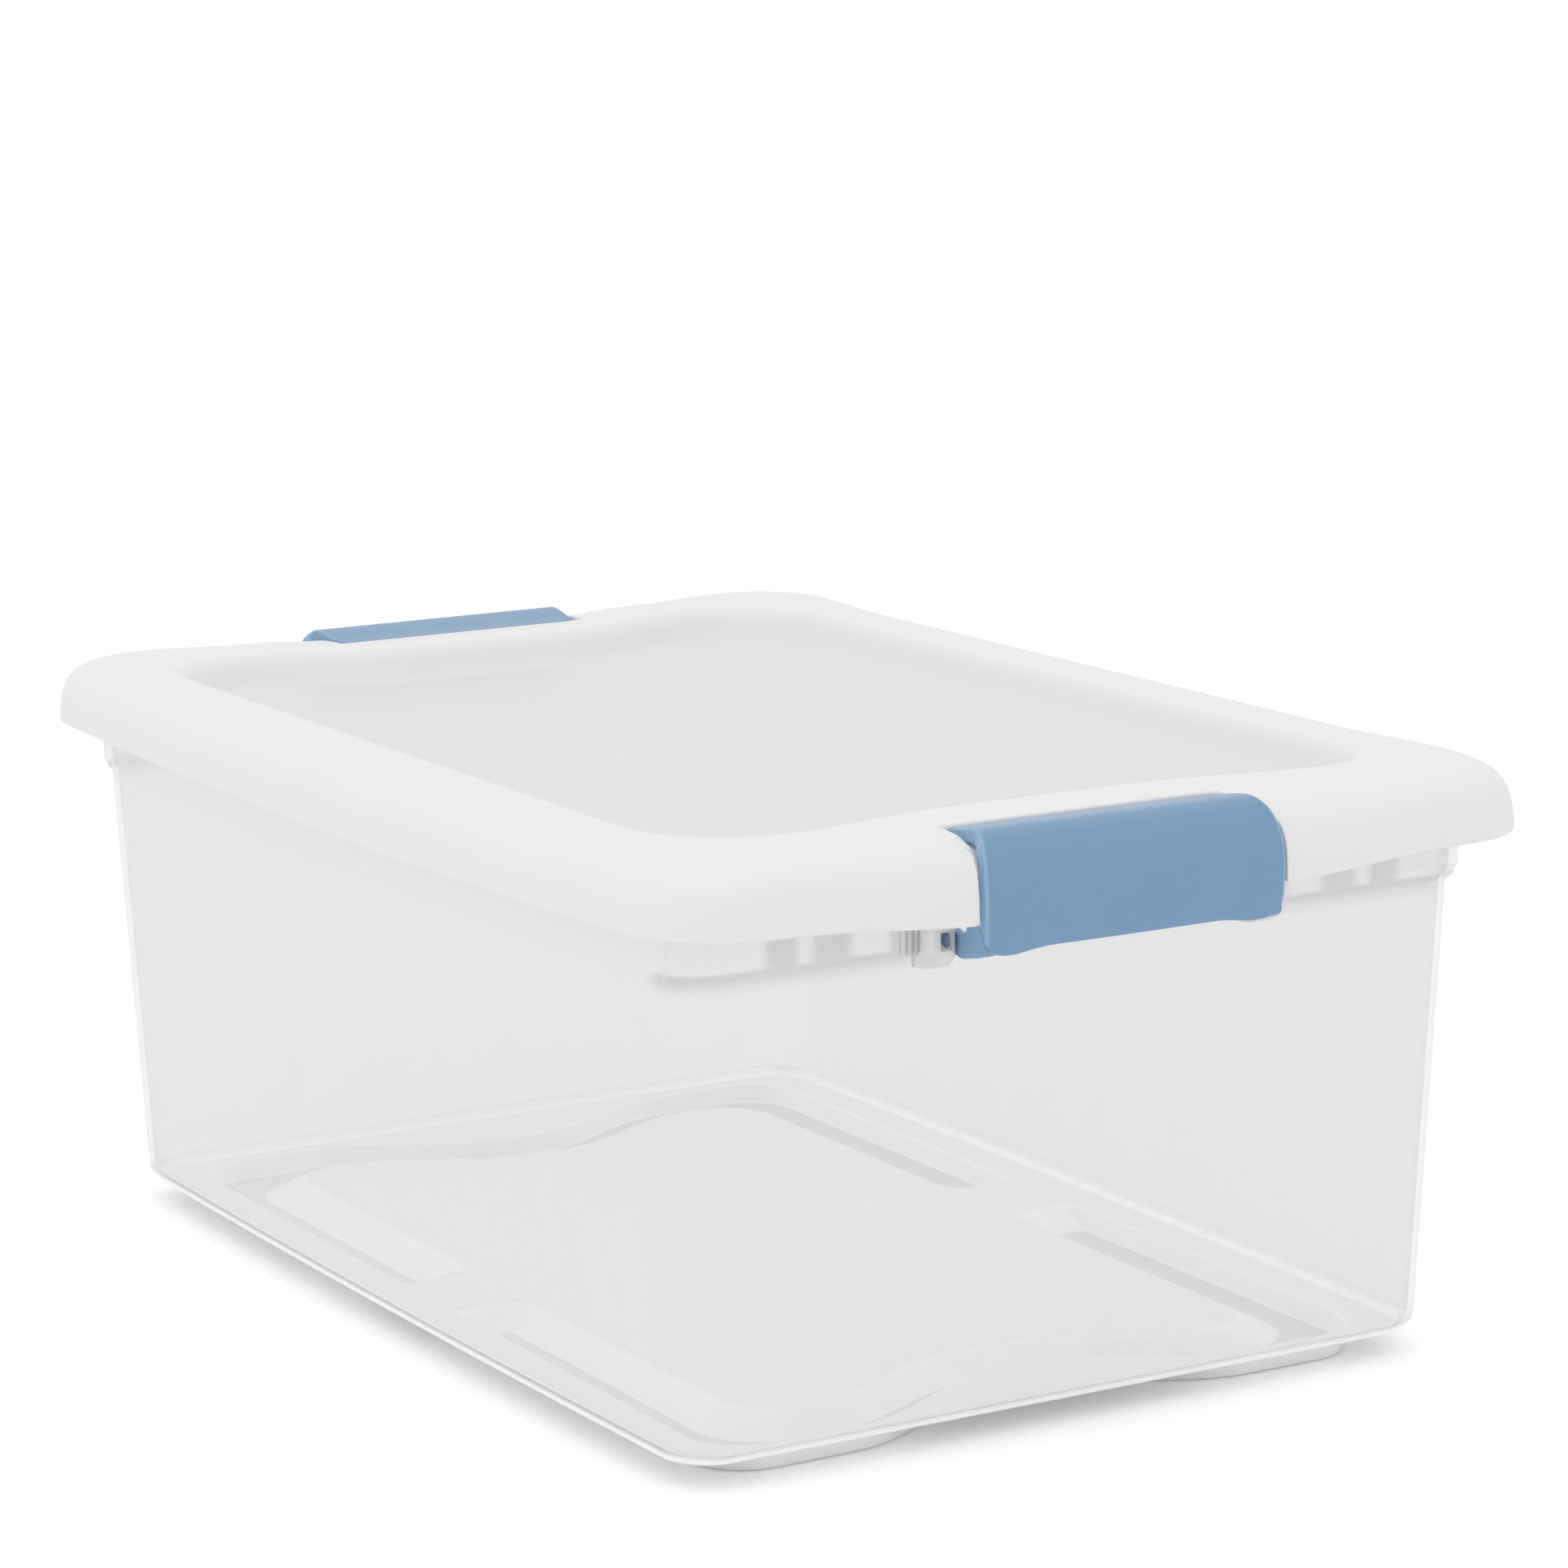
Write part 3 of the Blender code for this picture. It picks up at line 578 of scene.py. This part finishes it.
OUT_PATH, OUT_LEN = dense_path(SHELL_OUT)
IN_PATH, IN_LEN = dense_path(SHELL_IN)


def path_at(path, share):
    place = np.clip(np.asarray(share, float), 0, 1) * (len(path) - 1)
    i = np.clip(np.floor(place).astype(int), 0, len(path) - 2)
    part = (place - i)[..., None]
    return path[i] * (1 - part) + path[i + 1] * part


def share_at_x(x):
    """Share of the outer path at which its upper part reaches x."""
    upper = OUT_PATH[OUT_PATH[:, 1] > 168.0]
    skipped = len(OUT_PATH) - len(upper)
    return (skipped + int(np.argmin(np.abs(upper[:, 0] - x)))) / (len(OUT_PATH) - 1)


def share_at_z(z):
    """Share of the outer path at which its face reaches z."""
    face = OUT_PATH[: int(np.argmax(OUT_PATH[:, 1]))]
    return float(np.argmin(np.abs(face[:, 1] - z))) / (len(OUT_PATH) - 1)


WIDTH_SHARES = [share_at_z(z) for z, half in FACE_W] + [share_at_x(x) for x, half in LIP_W]
HALF_WIDTHS = [half for place, half in FACE_W + LIP_W]


def latch_shares():
    """Shares of the half width, -1 to 1, crowded where the end edges are rounded."""
    rounded = END_ROUND / LATCH_HALF
    shares = list(np.linspace(0, 0.84, 22)) + list(np.linspace(0.85, 0.93, 8))
    shares += list(np.linspace(0.935, 1 - rounded, 12))
    shares += [1 - rounded * (1 - math.sin(math.radians(t))) for t in range(9, 91, 9)]
    return [-v for v in reversed(shares[1:])] + shares


def tip_curve(start, start_before, end, end_before):
    """Six points of a cubic from start to end, leaving both in line with the point before."""

    def handle(point, before):
        run = point - before
        return point + run / max(np.linalg.norm(run), 1e-9) * TIP_ROUND * 1.25

    b, c = handle(start, start_before), handle(end, end_before)
    t = np.linspace(0, 1, 8)[1:-1, None]
    return (1 - t) ** 3 * start + 3 * t * (1 - t) ** 2 * b + 3 * t * t * (1 - t) * c + t**3 * end


def latch_section(across):
    """A closed section of the shell at a share (-1 to 1) of its half width."""
    share = abs(across)
    # the lip's tip draws back towards its ends
    tip = float(np.interp(share * LIP_HALF, [0, 20, 36, LIP_HALF], [0.0, 0.1, 0.5, 1.2]))
    lip_end = share_at_x(LIP_X + tip)
    curves = []
    for path, length, is_outer in ((OUT_PATH, OUT_LEN, True), (IN_PATH, IN_LEN, False)):
        along = np.linspace(TIP_ROUND / length, lip_end - TIP_ROUND / length, 72)
        line = path_at(path, along)
        half = np.interp(along, WIDTH_SHARES, HALF_WIDTHS)
        y = share * half
        tangent = np.gradient(line, axis=0)
        tangent /= np.linalg.norm(tangent, axis=1)[:, None]
        normal = np.stack([tangent[:, 1], -tangent[:, 0]], axis=1)
        if is_outer:  # round the end edges, and curve the face back towards them
            thick = np.linalg.norm(path_at(OUT_PATH, along) - path_at(IN_PATH, along), axis=1)
            past = np.clip(y - (half - END_ROUND), 0.0, END_ROUND)
            depth = np.minimum(END_ROUND, 0.86 * thick)
            line -= normal * ((1 - np.sqrt(1 - (past / END_ROUND) ** 2)) * depth)[:, None]
            line[:, 0] -= 0.35 * (y / LATCH_HALF) ** 2 * np.clip((line[:, 0] - 200.0) / 10.0, 0, 1)
        else:  # a thicker rim closes the ends down towards the lid
            rim = smooth((y - (half - RIM - 0.5)) / 0.5) * np.interp(
                along,
                [0.0, 0.08, 0.18, 0.5, 0.62, 0.9, 1.0],
                [0.0, 0.0, 0.75, 0.9, 1.5, 1.35, 0.6],
            )
            line -= normal * rim[:, None]
        # the lower edge dips near its ends
        dip = np.interp(y, [0, 28, 34, 38, 42, 44, 46], [0, 0.0, 0.7, 1.35, 1.3, 0.9, 0.3])
        low = line[:, 1] < 150.0
        line[low, 1] -= (dip * np.minimum(1.0, (150.0 - line[:, 1]) / 5.0))[low]
        curves.append(np.stack([line[:, 0], math.copysign(1, across) * y, line[:, 1]], axis=1))
    outer, inner = curves
    nose = tip_curve(outer[-1], outer[-3], inner[-1], inner[-3])
    bottom = tip_curve(inner[0], inner[2], outer[0], outer[2])
    return np.concatenate([outer, nose, inner[::-1], bottom])


def latch_shell():
    rows = [latch_section(across) for across in latch_shares()]
    count = len(rows[0])
    faces = tube_faces(len(rows), count)

    def cap(base):
        """A flat end, as strips between the outer and the inner curve."""
        end = base + count - 1
        return [(base + i, base + i + 1, end - i - 1, end - i) for i in range(count // 2 - 1)]

    faces += [tuple(reversed(face)) for face in cap(0)]
    faces += cap((len(rows) - 1) * count)
    return np.concatenate(rows), faces


def latch_fittings():
    """Cheeks, webs, pivot pins and stiffening ribs of the latch."""
    lobe = pivot_arc(2.9, np.radians(np.linspace(78, 245, 15)))
    arm = round_poly([
        (198.4, 142.3), (202.5, 141.5), (211.5, 143.4), (213.3, 144.9),
        (213.4, 151.6), (205.8, 151.6), (205.0, 149.3), (200.2, 148.3),
    ], 1.0, 5)
    cheek = np.concatenate([lobe, arm[3:-3]])
    web = round_poly(
        [(207.5, 143.0), (211.5, 143.4), (213.2, 144.7), (213.4, 151.6), (209.0, 151.6)], 0.6
    )
    rib = round_poly([(206.5, 146.8), (212.6, 145.6), (213.1, 151.4), (208.0, 151.4)], 0.5)
    paired = merge([
        prism(cheek, 46.0, LATCH_HALF, 0.45),
        prism(web, 43.4, 46.6, 0.3),
        prism(pivot_circle(PIN_R, 40), 46.9, 50.6, 0.4),
    ])
    ribs = [prism(rib, y - 0.8, y + 0.8, 0.3) for y in (-27.0, -9.0, 9.0, 27.0)]
    return merge([with_twin(paired)] + ribs)


# ---------------------------------------------------------------- shader nodes
def feed(tree, socket, value):
    """Links an output to the socket, or sets the socket to a number, vector or (r, g, b)."""
    if isinstance(value, bpy.types.NodeSocket):
        tree.links.new(value, socket)
    elif socket.type == "RGBA":
        socket.default_value = (*value, 1)
    else:
        socket.default_value = value


def add(tree, kind, **inputs):
    """A new node; underscores in input names stand for spaces."""
    node = tree.nodes.new("ShaderNode" + kind)
    for name, value in inputs.items():
        feed(tree, node.inputs[name.replace("_", " ")], value)
    return node


def first_out(tree, kind, **inputs):
    return add(tree, kind, **inputs).outputs[0]


def new_mat(name):
    mat = bpy.data.materials.new(name)
    mat.use_nodes = True
    mat.node_tree.nodes.clear()
    return mat, mat.node_tree


def calc(tree, operation, *values):
    node = add(tree, "Math")
    node.operation = operation
    for k, value in enumerate(values):
        feed(tree, node.inputs[k], value)
    return node.outputs[0]


def noise(tree, coord, scale, detail=2.0, rough=0.5, stretch=(1.0, 1.0, 1.0)):
    place = first_out(tree, "Mapping", Vector=coord, Scale=stretch)
    node = add(tree, "TexNoise", Scale=scale, Detail=detail, Roughness=rough, Vector=place)
    return node.outputs["Fac"]


def ramp(tree, value, span, to):
    """Maps the value from the span to another span, clamped."""
    node = add(tree, "MapRange", From_Min=span[0], From_Max=span[1], To_Min=to[0], To_Max=to[1])
    feed(tree, node.inputs["Value"], value)
    return node.outputs["Result"]


def bump(tree, height, strength, distance, **normal):
    return first_out(tree, "Bump", Strength=strength, Distance=distance, Height=height, **normal)


def coords(tree):
    return add(tree, "TexCoord").outputs["Object"]


def attribute(tree, name):
    node = add(tree, "Attribute")
    node.attribute_name = name
    return node.outputs["Fac"]


def camera_ray(tree):
    return add(tree, "LightPath").outputs["Is Camera Ray"]


def not_camera(tree):
    return calc(tree, "SUBTRACT", 1.0, camera_ray(tree))


def mix_colour(tree, share, first, second):
    node = add(tree, "Mix")
    node.data_type = "RGBA"
    for name, value in (("A", first), ("B", second), ("Factor", share)):
        feed(tree, node.inputs[name], value)
    return node.outputs["Result"]


def mix_shader(tree, share, first, second):
    node = add(tree, "MixShader")
    for k, value in enumerate((share, first, second)):
        feed(tree, node.inputs[k], value)
    return node.outputs[0]


def add_shaders(tree, first, second):
    node = add(tree, "AddShader")
    feed(tree, node.inputs[0], first)
    feed(tree, node.inputs[1], second)
    return node.outputs[0]


def clear(tree, level=1.0):
    return first_out(tree, "BsdfTransparent", Color=(level, level, level))


def shade(colour, factor):
    return tuple(v * factor for v in colour)


def paint_gap_shade(tree, distance, gap_shade_colour, colour):
    """The colour with painted shade: it goes to the given dark colour in gaps narrower than about
    the distance.
    """
    node = add(tree, "AmbientOcclusion", Distance=distance)
    node.samples = 6
    share = ramp(tree, node.outputs["AO"], span=(0.25, 0.75), to=(0.0, 1.0))
    return mix_colour(tree, share, gap_shade_colour, colour)


def plastic(tree, colour, roughness, specular, normal):
    return first_out(
        tree, "BsdfPrincipled", Base_Color=colour, Roughness=roughness,
        Specular_IOR_Level=specular, Normal=normal,
    )


def surface(tree, shader, kind="OutputMaterial"):
    add(tree, kind, Surface=shader)


# ---------------------------------------------------------------- materials
LID_COLOUR = (0.828, 0.826, 0.823)
LATCH_COLOUR = (0.175, 0.315, 0.490)
LATCH_HIGHLIGHT_GAIN = (1.75, 1.5, 1.35)  # painted highlight on the rounded edges, per channel
MILK_COLOUR = (0.962, 0.963, 0.965)
CLEAR_TINT = (0.940, 0.941, 0.942)
LID_PASS = 0.96  # share of light, other than camera rays, that passes the lid
HAZE, FLOOR_MILK = 0.055, 1.6  # milkiness of the tub's walls and of its floor
GLOW = 0.055  # emission of the tub's floor


def lid_material():
    """White polypropylene, thin enough that light reaches the inside through it."""
    mat, tree = new_mat("white_polypropylene")
    coord = coords(tree)
    grain = noise(tree, coord, scale=1400.0, detail=3.0, rough=0.6)
    wave = noise(tree, coord, scale=9.0)
    cloud = noise(tree, coord, scale=28.0, detail=4.0, rough=0.55)
    scuff = noise(tree, coord, scale=160.0, detail=6.0, rough=0.7, stretch=(1.0, 0.16, 1.0))
    normal = bump(tree, wave, strength=0.25, distance=0.0012)
    normal = bump(tree, grain, strength=0.12, distance=0.00018, Normal=normal)
    base = mix_colour(tree, cloud, LID_COLOUR, shade(LID_COLOUR, 1.02))
    # painted shade on the recessed panel, greyer as if shaded by its recess
    base = mix_colour(tree, attribute(tree, "panel"), base, shade(LID_COLOUR, 0.905))
    # painted shade in the lid's gaps and crevices
    base = paint_gap_shade(tree, distance=0.003, gap_shade_colour=shade(LID_COLOUR, 0.72), colour=base)
    scuffed = ramp(tree, scuff, span=(0.45, 0.75), to=(0.40, 0.47))
    uneven = ramp(tree, wave, span=(0.3, 0.7), to=(-0.03, 0.03))
    rough = calc(tree, "ADD", scuffed, uneven)
    body = plastic(tree, base, rough, specular=0.38, normal=normal)
    passed = calc(tree, "MULTIPLY", not_camera(tree), LID_PASS)
    surface(tree, mix_shader(tree, passed, body, clear(tree)))
    return mat


def latch_material():
    """Blue polypropylene, with a painted highlight along its rounded end edges."""
    mat, tree = new_mat("blue_polypropylene")
    coord = coords(tree)
    grain = noise(tree, coord, scale=1700.0, detail=3.0, rough=0.6)
    wave = noise(tree, coord, scale=14.0)
    cloud = noise(tree, coord, scale=45.0, detail=4.0, rough=0.55)
    normal = bump(tree, wave, strength=0.2, distance=0.0008)
    normal = bump(tree, grain, strength=0.10, distance=0.00014, Normal=normal)
    base = mix_colour(tree, cloud, LATCH_COLOUR, shade(LATCH_COLOUR, 1.05))
    highlight_colour = tuple(v * gain for v, gain in zip(LATCH_COLOUR, LATCH_HIGHLIGHT_GAIN))
    # painted highlight along the rounded end edges
    base = mix_colour(tree, attribute(tree, "edge"), base, highlight_colour)
    # painted shade in the latch's gaps and crevices
    base = paint_gap_shade(tree, distance=0.003, gap_shade_colour=shade(LATCH_COLOUR, 0.80), colour=base)
    rough = ramp(tree, cloud, span=(0.3, 0.7), to=(0.30, 0.36))
    surface(tree, plastic(tree, base, rough, specular=0.5, normal=normal))
    return mat


def tub_material():
    """Thin clear polypropylene, hazier where a ray runs along the wall, with a soft gloss.

    Mesh attributes say how milky (milk), how much painted shade darkens what is seen through it,
    how bright it is (on the floor, with painted light and shade of its relief) and glowing (glow)
    each part of the skin is, and how much light it stops (stops).
    """
    mat, tree = new_mat("clear_polypropylene")
    coord = coords(tree)
    wave = noise(tree, coord, scale=7.0, stretch=(1.0, 1.0, 0.5))
    flow = noise(tree, coord, scale=60.0, detail=4.0, rough=0.6, stretch=(1.0, 1.0, 0.12))
    grain = noise(tree, coord, scale=1200.0)
    normal = bump(tree, wave, strength=0.35, distance=0.0015)
    normal = bump(tree, grain, strength=0.05, distance=0.0001, Normal=normal)
    geometry = add(tree, "NewGeometry")
    dot = add(tree, "VectorMath")
    dot.operation = "DOT_PRODUCT"
    feed(tree, dot.inputs[0], geometry.outputs["Normal"])
    feed(tree, dot.inputs[1], geometry.outputs["Incoming"])
    cosine = calc(tree, "ABSOLUTE", dot.outputs["Value"])
    cosine = calc(tree, "MAXIMUM", cosine, 0.04)
    milk, see_through_shade, tone_and_shading, stops = (attribute(tree, n) for n in ("milk", "see_through_shade", "tone_and_shading", "stops"))
    # the milky colour is darker where the attribute is low: on the floor this is painted highlight
    # on slopes and painted shade in channels
    white = mix_colour(tree, tone_and_shading, shade(MILK_COLOUR, 0.80), MILK_COLOUR)

    # share of light the milky wall keeps: 1 - exp(-density / cosine)
    density = calc(tree, "MULTIPLY", milk, ramp(tree, flow, span=(0.3, 0.7), to=(0.9, 1.1)))
    depth = calc(tree, "DIVIDE", density, cosine)
    passed = calc(tree, "EXPONENT", calc(tree, "MULTIPLY", depth, -1.0))
    kept = calc(tree, "SUBTRACT", 1.0, passed)
    # painted shade: what is seen through the collar is darkened where the attribute says
    tint = mix_colour(tree, see_through_shade, CLEAR_TINT, shade(CLEAR_TINT, 0.82))
    seen = first_out(tree, "BsdfTransparent", Color=tint)
    diffuse = first_out(tree, "BsdfDiffuse", Color=white, Normal=normal)
    through = first_out(tree, "BsdfTranslucent", Color=white, Normal=normal)
    # the thicker the milk, the less light comes through it
    share = ramp(tree, milk, span=(HAZE, FLOOR_MILK), to=(0.5, 0.03))
    glow = first_out(tree, "Emission", Color=white, Strength=attribute(tree, "glow"))
    milky = add_shaders(tree, mix_shader(tree, share, diffuse, through), glow)
    body = mix_shader(tree, kept, seen, milky)

    rough = ramp(tree, flow, span=(0.3, 0.7), to=(0.14, 0.22))
    gloss = first_out(tree, "BsdfGlossy", Color=(1, 1, 1), Roughness=rough, Normal=normal)
    fresnel = first_out(tree, "Fresnel", IOR=1.38, Normal=normal)
    facing_out = calc(tree, "SUBTRACT", 1.0, geometry.outputs["Backfacing"])
    amount = calc(tree, "MULTIPLY", calc(tree, "MINIMUM", fresnel, 0.35), facing_out)
    whole = mix_shader(tree, amount, body, gloss)

    # other than for camera rays, the walls hardly stop light and the floor does
    stopper = first_out(tree, "BsdfDiffuse", Color=MILK_COLOUR)
    lets = mix_shader(tree, stops, clear(tree), stopper)
    surface(tree, mix_shader(tree, not_camera(tree), whole, lets))
    return mat


def bracket_material(name, gap_shade_grey, through):
    """Thick, milky polypropylene; its gaps get a painted shade of the given grey, and through is
    its clear share.
    """
    mat, tree = new_mat(name)
    coord = coords(tree)
    flow = noise(tree, coord, scale=80.0, detail=4.0, rough=0.6)
    grain = noise(tree, coord, scale=1200.0)
    normal = bump(tree, grain, strength=0.05, distance=0.0001)
    base = mix_colour(tree, flow, (0.86, 0.862, 0.865), (0.90, 0.902, 0.905))
    # painted shade in gaps, such as the socket and the mouth
    base = paint_gap_shade(tree, distance=0.0022, gap_shade_colour=(gap_shade_grey, gap_shade_grey, gap_shade_grey), colour=base)
    rough = ramp(tree, flow, span=(0.3, 0.7), to=(0.25, 0.35))
    body = plastic(tree, base, rough, specular=0.4, normal=normal)
    surface(tree, mix_shader(tree, through, body, clear(tree, 0.93)))
    return mat


clear_mat = tub_material()
bracket_mat = bracket_material("thick_polypropylene", gap_shade_grey=0.42, through=0.42)
rib_mat = bracket_material("rib_polypropylene", gap_shade_grey=0.62, through=0.60)
white_mat = lid_material()
blue_mat = latch_material()


# ---------------------------------------------------------------- mesh attributes
def paint(obj, name, values):
    layer = obj.data.attributes.new(name, "FLOAT", "POINT")
    layer.data.foreach_set("value", np.asarray(values, np.float32))


def per_vertex(obj, name):
    values = np.zeros(len(obj.data.vertices) * 3)
    obj.data.vertices.foreach_get(name, values)
    return values.reshape(-1, 3)


def places_of(obj):
    """|x|, |y| and z of the vertices, in mm."""
    points = per_vertex(obj, "co") / MM
    return np.abs(points[:, 0]), np.abs(points[:, 1]), points[:, 2]


def paint_edge_highlight(obj):
    """Marks the rounded end edges of a latch's face and lip, which get a painted highlight."""
    away_x, away_y, z = places_of(obj)
    lip_x, lip_half = np.array(((212.0, 47.0),) + LIP_W).T
    face_z, face_half = np.array(FACE_W[2:9] + ((174.5, 46.0),)).T
    half = np.where(
        z > 174.5, np.interp(-away_x, -lip_x, lip_half), np.interp(z, face_z, face_half)
    )
    rim = np.exp(-(((away_y - (half - 0.55)) / 0.42) ** 2))
    paint(obj, "edge", 0.8 * rim * (z > 147.0))


def paint_panel_shade(obj):
    """Marks the recessed panel of the lid for painted shade, which makes it look greyer, deeper
    into the recess.
    """
    away_x, away_y, z = places_of(obj)
    within = (away_x < 183.5) & (away_y < 121.0)
    paint(obj, "panel", np.where(within, smooth((175.3 - z) / 5.5), 0.0))


def paint_skin(obj):
    """Writes the attributes that the tub material reads, from where each vertex lies."""
    away_x, away_y, z = places_of(obj)
    low = 1 - smooth((z - 8.4) / 2.6)  # the floor
    inside = smooth((183.5 - away_x) / 4.5) * smooth((124.0 - away_y) / 4.5)  # off the walls
    high = smooth((z - 137.5) / 4.0)  # the collar
    milk = HAZE + (FLOOR_MILK - HAZE) * low * (0.40 + 0.60 * inside) + high * 0.045
    stops = 0.04 + 0.78 * low + 0.34 * (1 - low) * (1 - smooth((z - 8.0) / 30.0))
    glow = low * (GLOW * inside + 0.24 * (1 - inside))

    # painted light on the floor's relief: slopes get a painted highlight, channels a little
    # painted shade
    flatness = np.abs(per_vertex(obj, "normal")[:, 2])
    slope = smooth((0.995 - flatness) / 0.05) * low
    deep = (1 - smooth((z - 2.4) / 2.0)) * low
    relief_light_and_shade = 0.56 + 0.44 * slope - 0.62 * deep * (1 - slope)
    tone_and_shading = np.where(low > 0.01, relief_light_and_shade * inside + 0.9 * (1 - inside), 0.25)

    # painted shade: the collar's ends are darker between the pads, where they are recessed, and
    # its upper part all round, under the lid's skirt
    ends = smooth((away_x - 176.0) / 6.0)
    field = pad_fields(away_y, 0.6) * smooth((z - PAD_Z + 0.2) / 0.8)
    see_through_shade = 0.75 * high * ends * (1 - field) * smooth((away_y - 56.0) / 2.0)
    see_through_shade = see_through_shade + 0.45 * smooth((z - 146.0) / 4.5)

    paint(obj, "milk", milk)
    paint(obj, "see_through_shade", see_through_shade)
    paint(obj, "tone_and_shading", tone_and_shading)
    paint(obj, "stops", stops)
    paint(obj, "glow", glow)


# ---------------------------------------------------------------- pieces
def build_tub():
    shell = make("tub_shell", loft(fillet(tub_keys()), 6.2, 7.9), mat=clear_mat, body="tub")
    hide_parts("tub")
    paint_skin(shell)
    for side in ("front", "rear"):
        make_brackets(side)
        ribs = at_end(tub_ribs(), side)
        ribs = make("tub_ribs_" + side, ribs, mat=rib_mat, body="tub", sharp_angle=40)


def build_lid():
    skin = loft(fillet(lid_keys()), LID_PANEL_Z, LID_PANEL_Z - LID_T)
    lid = make("lid_shell", skin, mat=white_mat, body="lid")
    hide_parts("lid")
    paint_panel_shade(lid)


def build_latch(side):
    body = "latch_" + side
    shell = at_end(latch_shell(), side)
    shell = make(body + "_shell", shell, mat=blue_mat, body=body, sharp_angle=60)
    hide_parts(body)
    paint_edge_highlight(shell)
    fittings = at_end(latch_fittings(), side)
    fittings = make(body + "_pivots", fittings, mat=blue_mat, body=body, sharp_angle=40)


build_tub()
build_lid()
build_latch("front")
build_latch("rear")


# ---------------------------------------------------------------- studio
FLOOR_HALF, FLOOR_Z = 30.0 / MM, -0.2


def floor_material():
    """Near-white matt floor, a little brighter to the camera."""
    mat, tree = new_mat("studio_floor")
    cloud = noise(tree, coords(tree), scale=3.0)
    colour = mix_colour(tree, cloud, (0.93, 0.93, 0.93), (0.95, 0.95, 0.95))
    diffuse = first_out(tree, "BsdfDiffuse", Color=colour)
    strength = calc(tree, "MULTIPLY", camera_ray(tree), 0.145)
    glow = first_out(tree, "Emission", Strength=strength)
    surface(tree, add_shaders(tree, diffuse, glow))
    return mat


def build_world():
    """White surroundings: one strength for lighting, another for what the camera sees."""
    world = bpy.data.worlds.new("studio")
    bpy.context.scene.world = world
    world.use_nodes = True
    tree = world.node_tree
    tree.nodes.clear()
    white = (1.0, 1.0, 1.0)
    lighting = first_out(tree, "Background", Color=white, Strength=0.92)
    seen = first_out(tree, "Background", Color=white, Strength=1.05)
    surface(tree, mix_shader(tree, camera_ray(tree), lighting, seen), kind="OutputWorld")


def area(name, where, size, power):
    """A rectangular light aimed at the box, unseen by the camera."""
    data = bpy.data.lights.new(name, "AREA")
    data.shape = "RECTANGLE"
    data.size, data.size_y = size
    data.energy = power
    obj = bpy.data.objects.new(name, data)
    bpy.context.scene.collection.objects.link(obj)
    obj.location = where
    aim = Vector((0, 0, 0.1)) - Vector(where)
    obj.rotation_euler = aim.to_track_quat("-Z", "Y").to_euler()
    obj.visible_camera = False


def build_camera(where, yaw, pitch, roll, lens):
    """A camera in metres and degrees: yaw turns from +Y towards -X, pitch looks down."""
    data = bpy.data.cameras.new("camera")
    data.sensor_width = 36.0
    data.lens = lens
    data.clip_end = 100.0
    camera = bpy.data.objects.new("camera", data)
    bpy.context.scene.collection.objects.link(camera)
    yaw, pitch, roll = math.radians(yaw), math.radians(pitch), math.radians(roll)
    level = math.cos(pitch)
    forward = Vector((-math.sin(yaw) * level, math.cos(yaw) * level, -math.sin(pitch)))
    right = forward.cross(Vector((0, 0, 1))).normalized()
    up = right.cross(forward)
    rolled_right = math.cos(roll) * right + math.sin(roll) * up
    rolled_up = -math.sin(roll) * right + math.cos(roll) * up
    pose = Matrix((rolled_right, rolled_up, -forward)).transposed().to_4x4()
    pose.translation = Vector(where)
    camera.matrix_world = pose
    bpy.context.scene.camera = camera


floor_corners = [
    (sx * FLOOR_HALF, sy * FLOOR_HALF, FLOOR_Z) for sx, sy in ((-1, -1), (1, -1), (1, 1), (-1, 1))
]
make("studio_floor", (floor_corners, [(0, 1, 2, 3)]), mat=floor_material())
build_world()
area("softbox_top", where=(0.3, -0.3, 1.9), size=(1.6, 1.6), power=3.2)
area("softbox_left", where=(-0.6, -1.9, 1.2), size=(1.0, 1.2), power=1.6)
build_camera(
    where=(1.31164, -0.74685, 0.43850), yaw=59.8265, pitch=10.7675, roll=-0.7136,
    lens=116.2591304,
)
bpy.context.scene.view_settings.view_transform = "Standard"
bpy.context.scene.cycles.transparent_max_bounces = 32
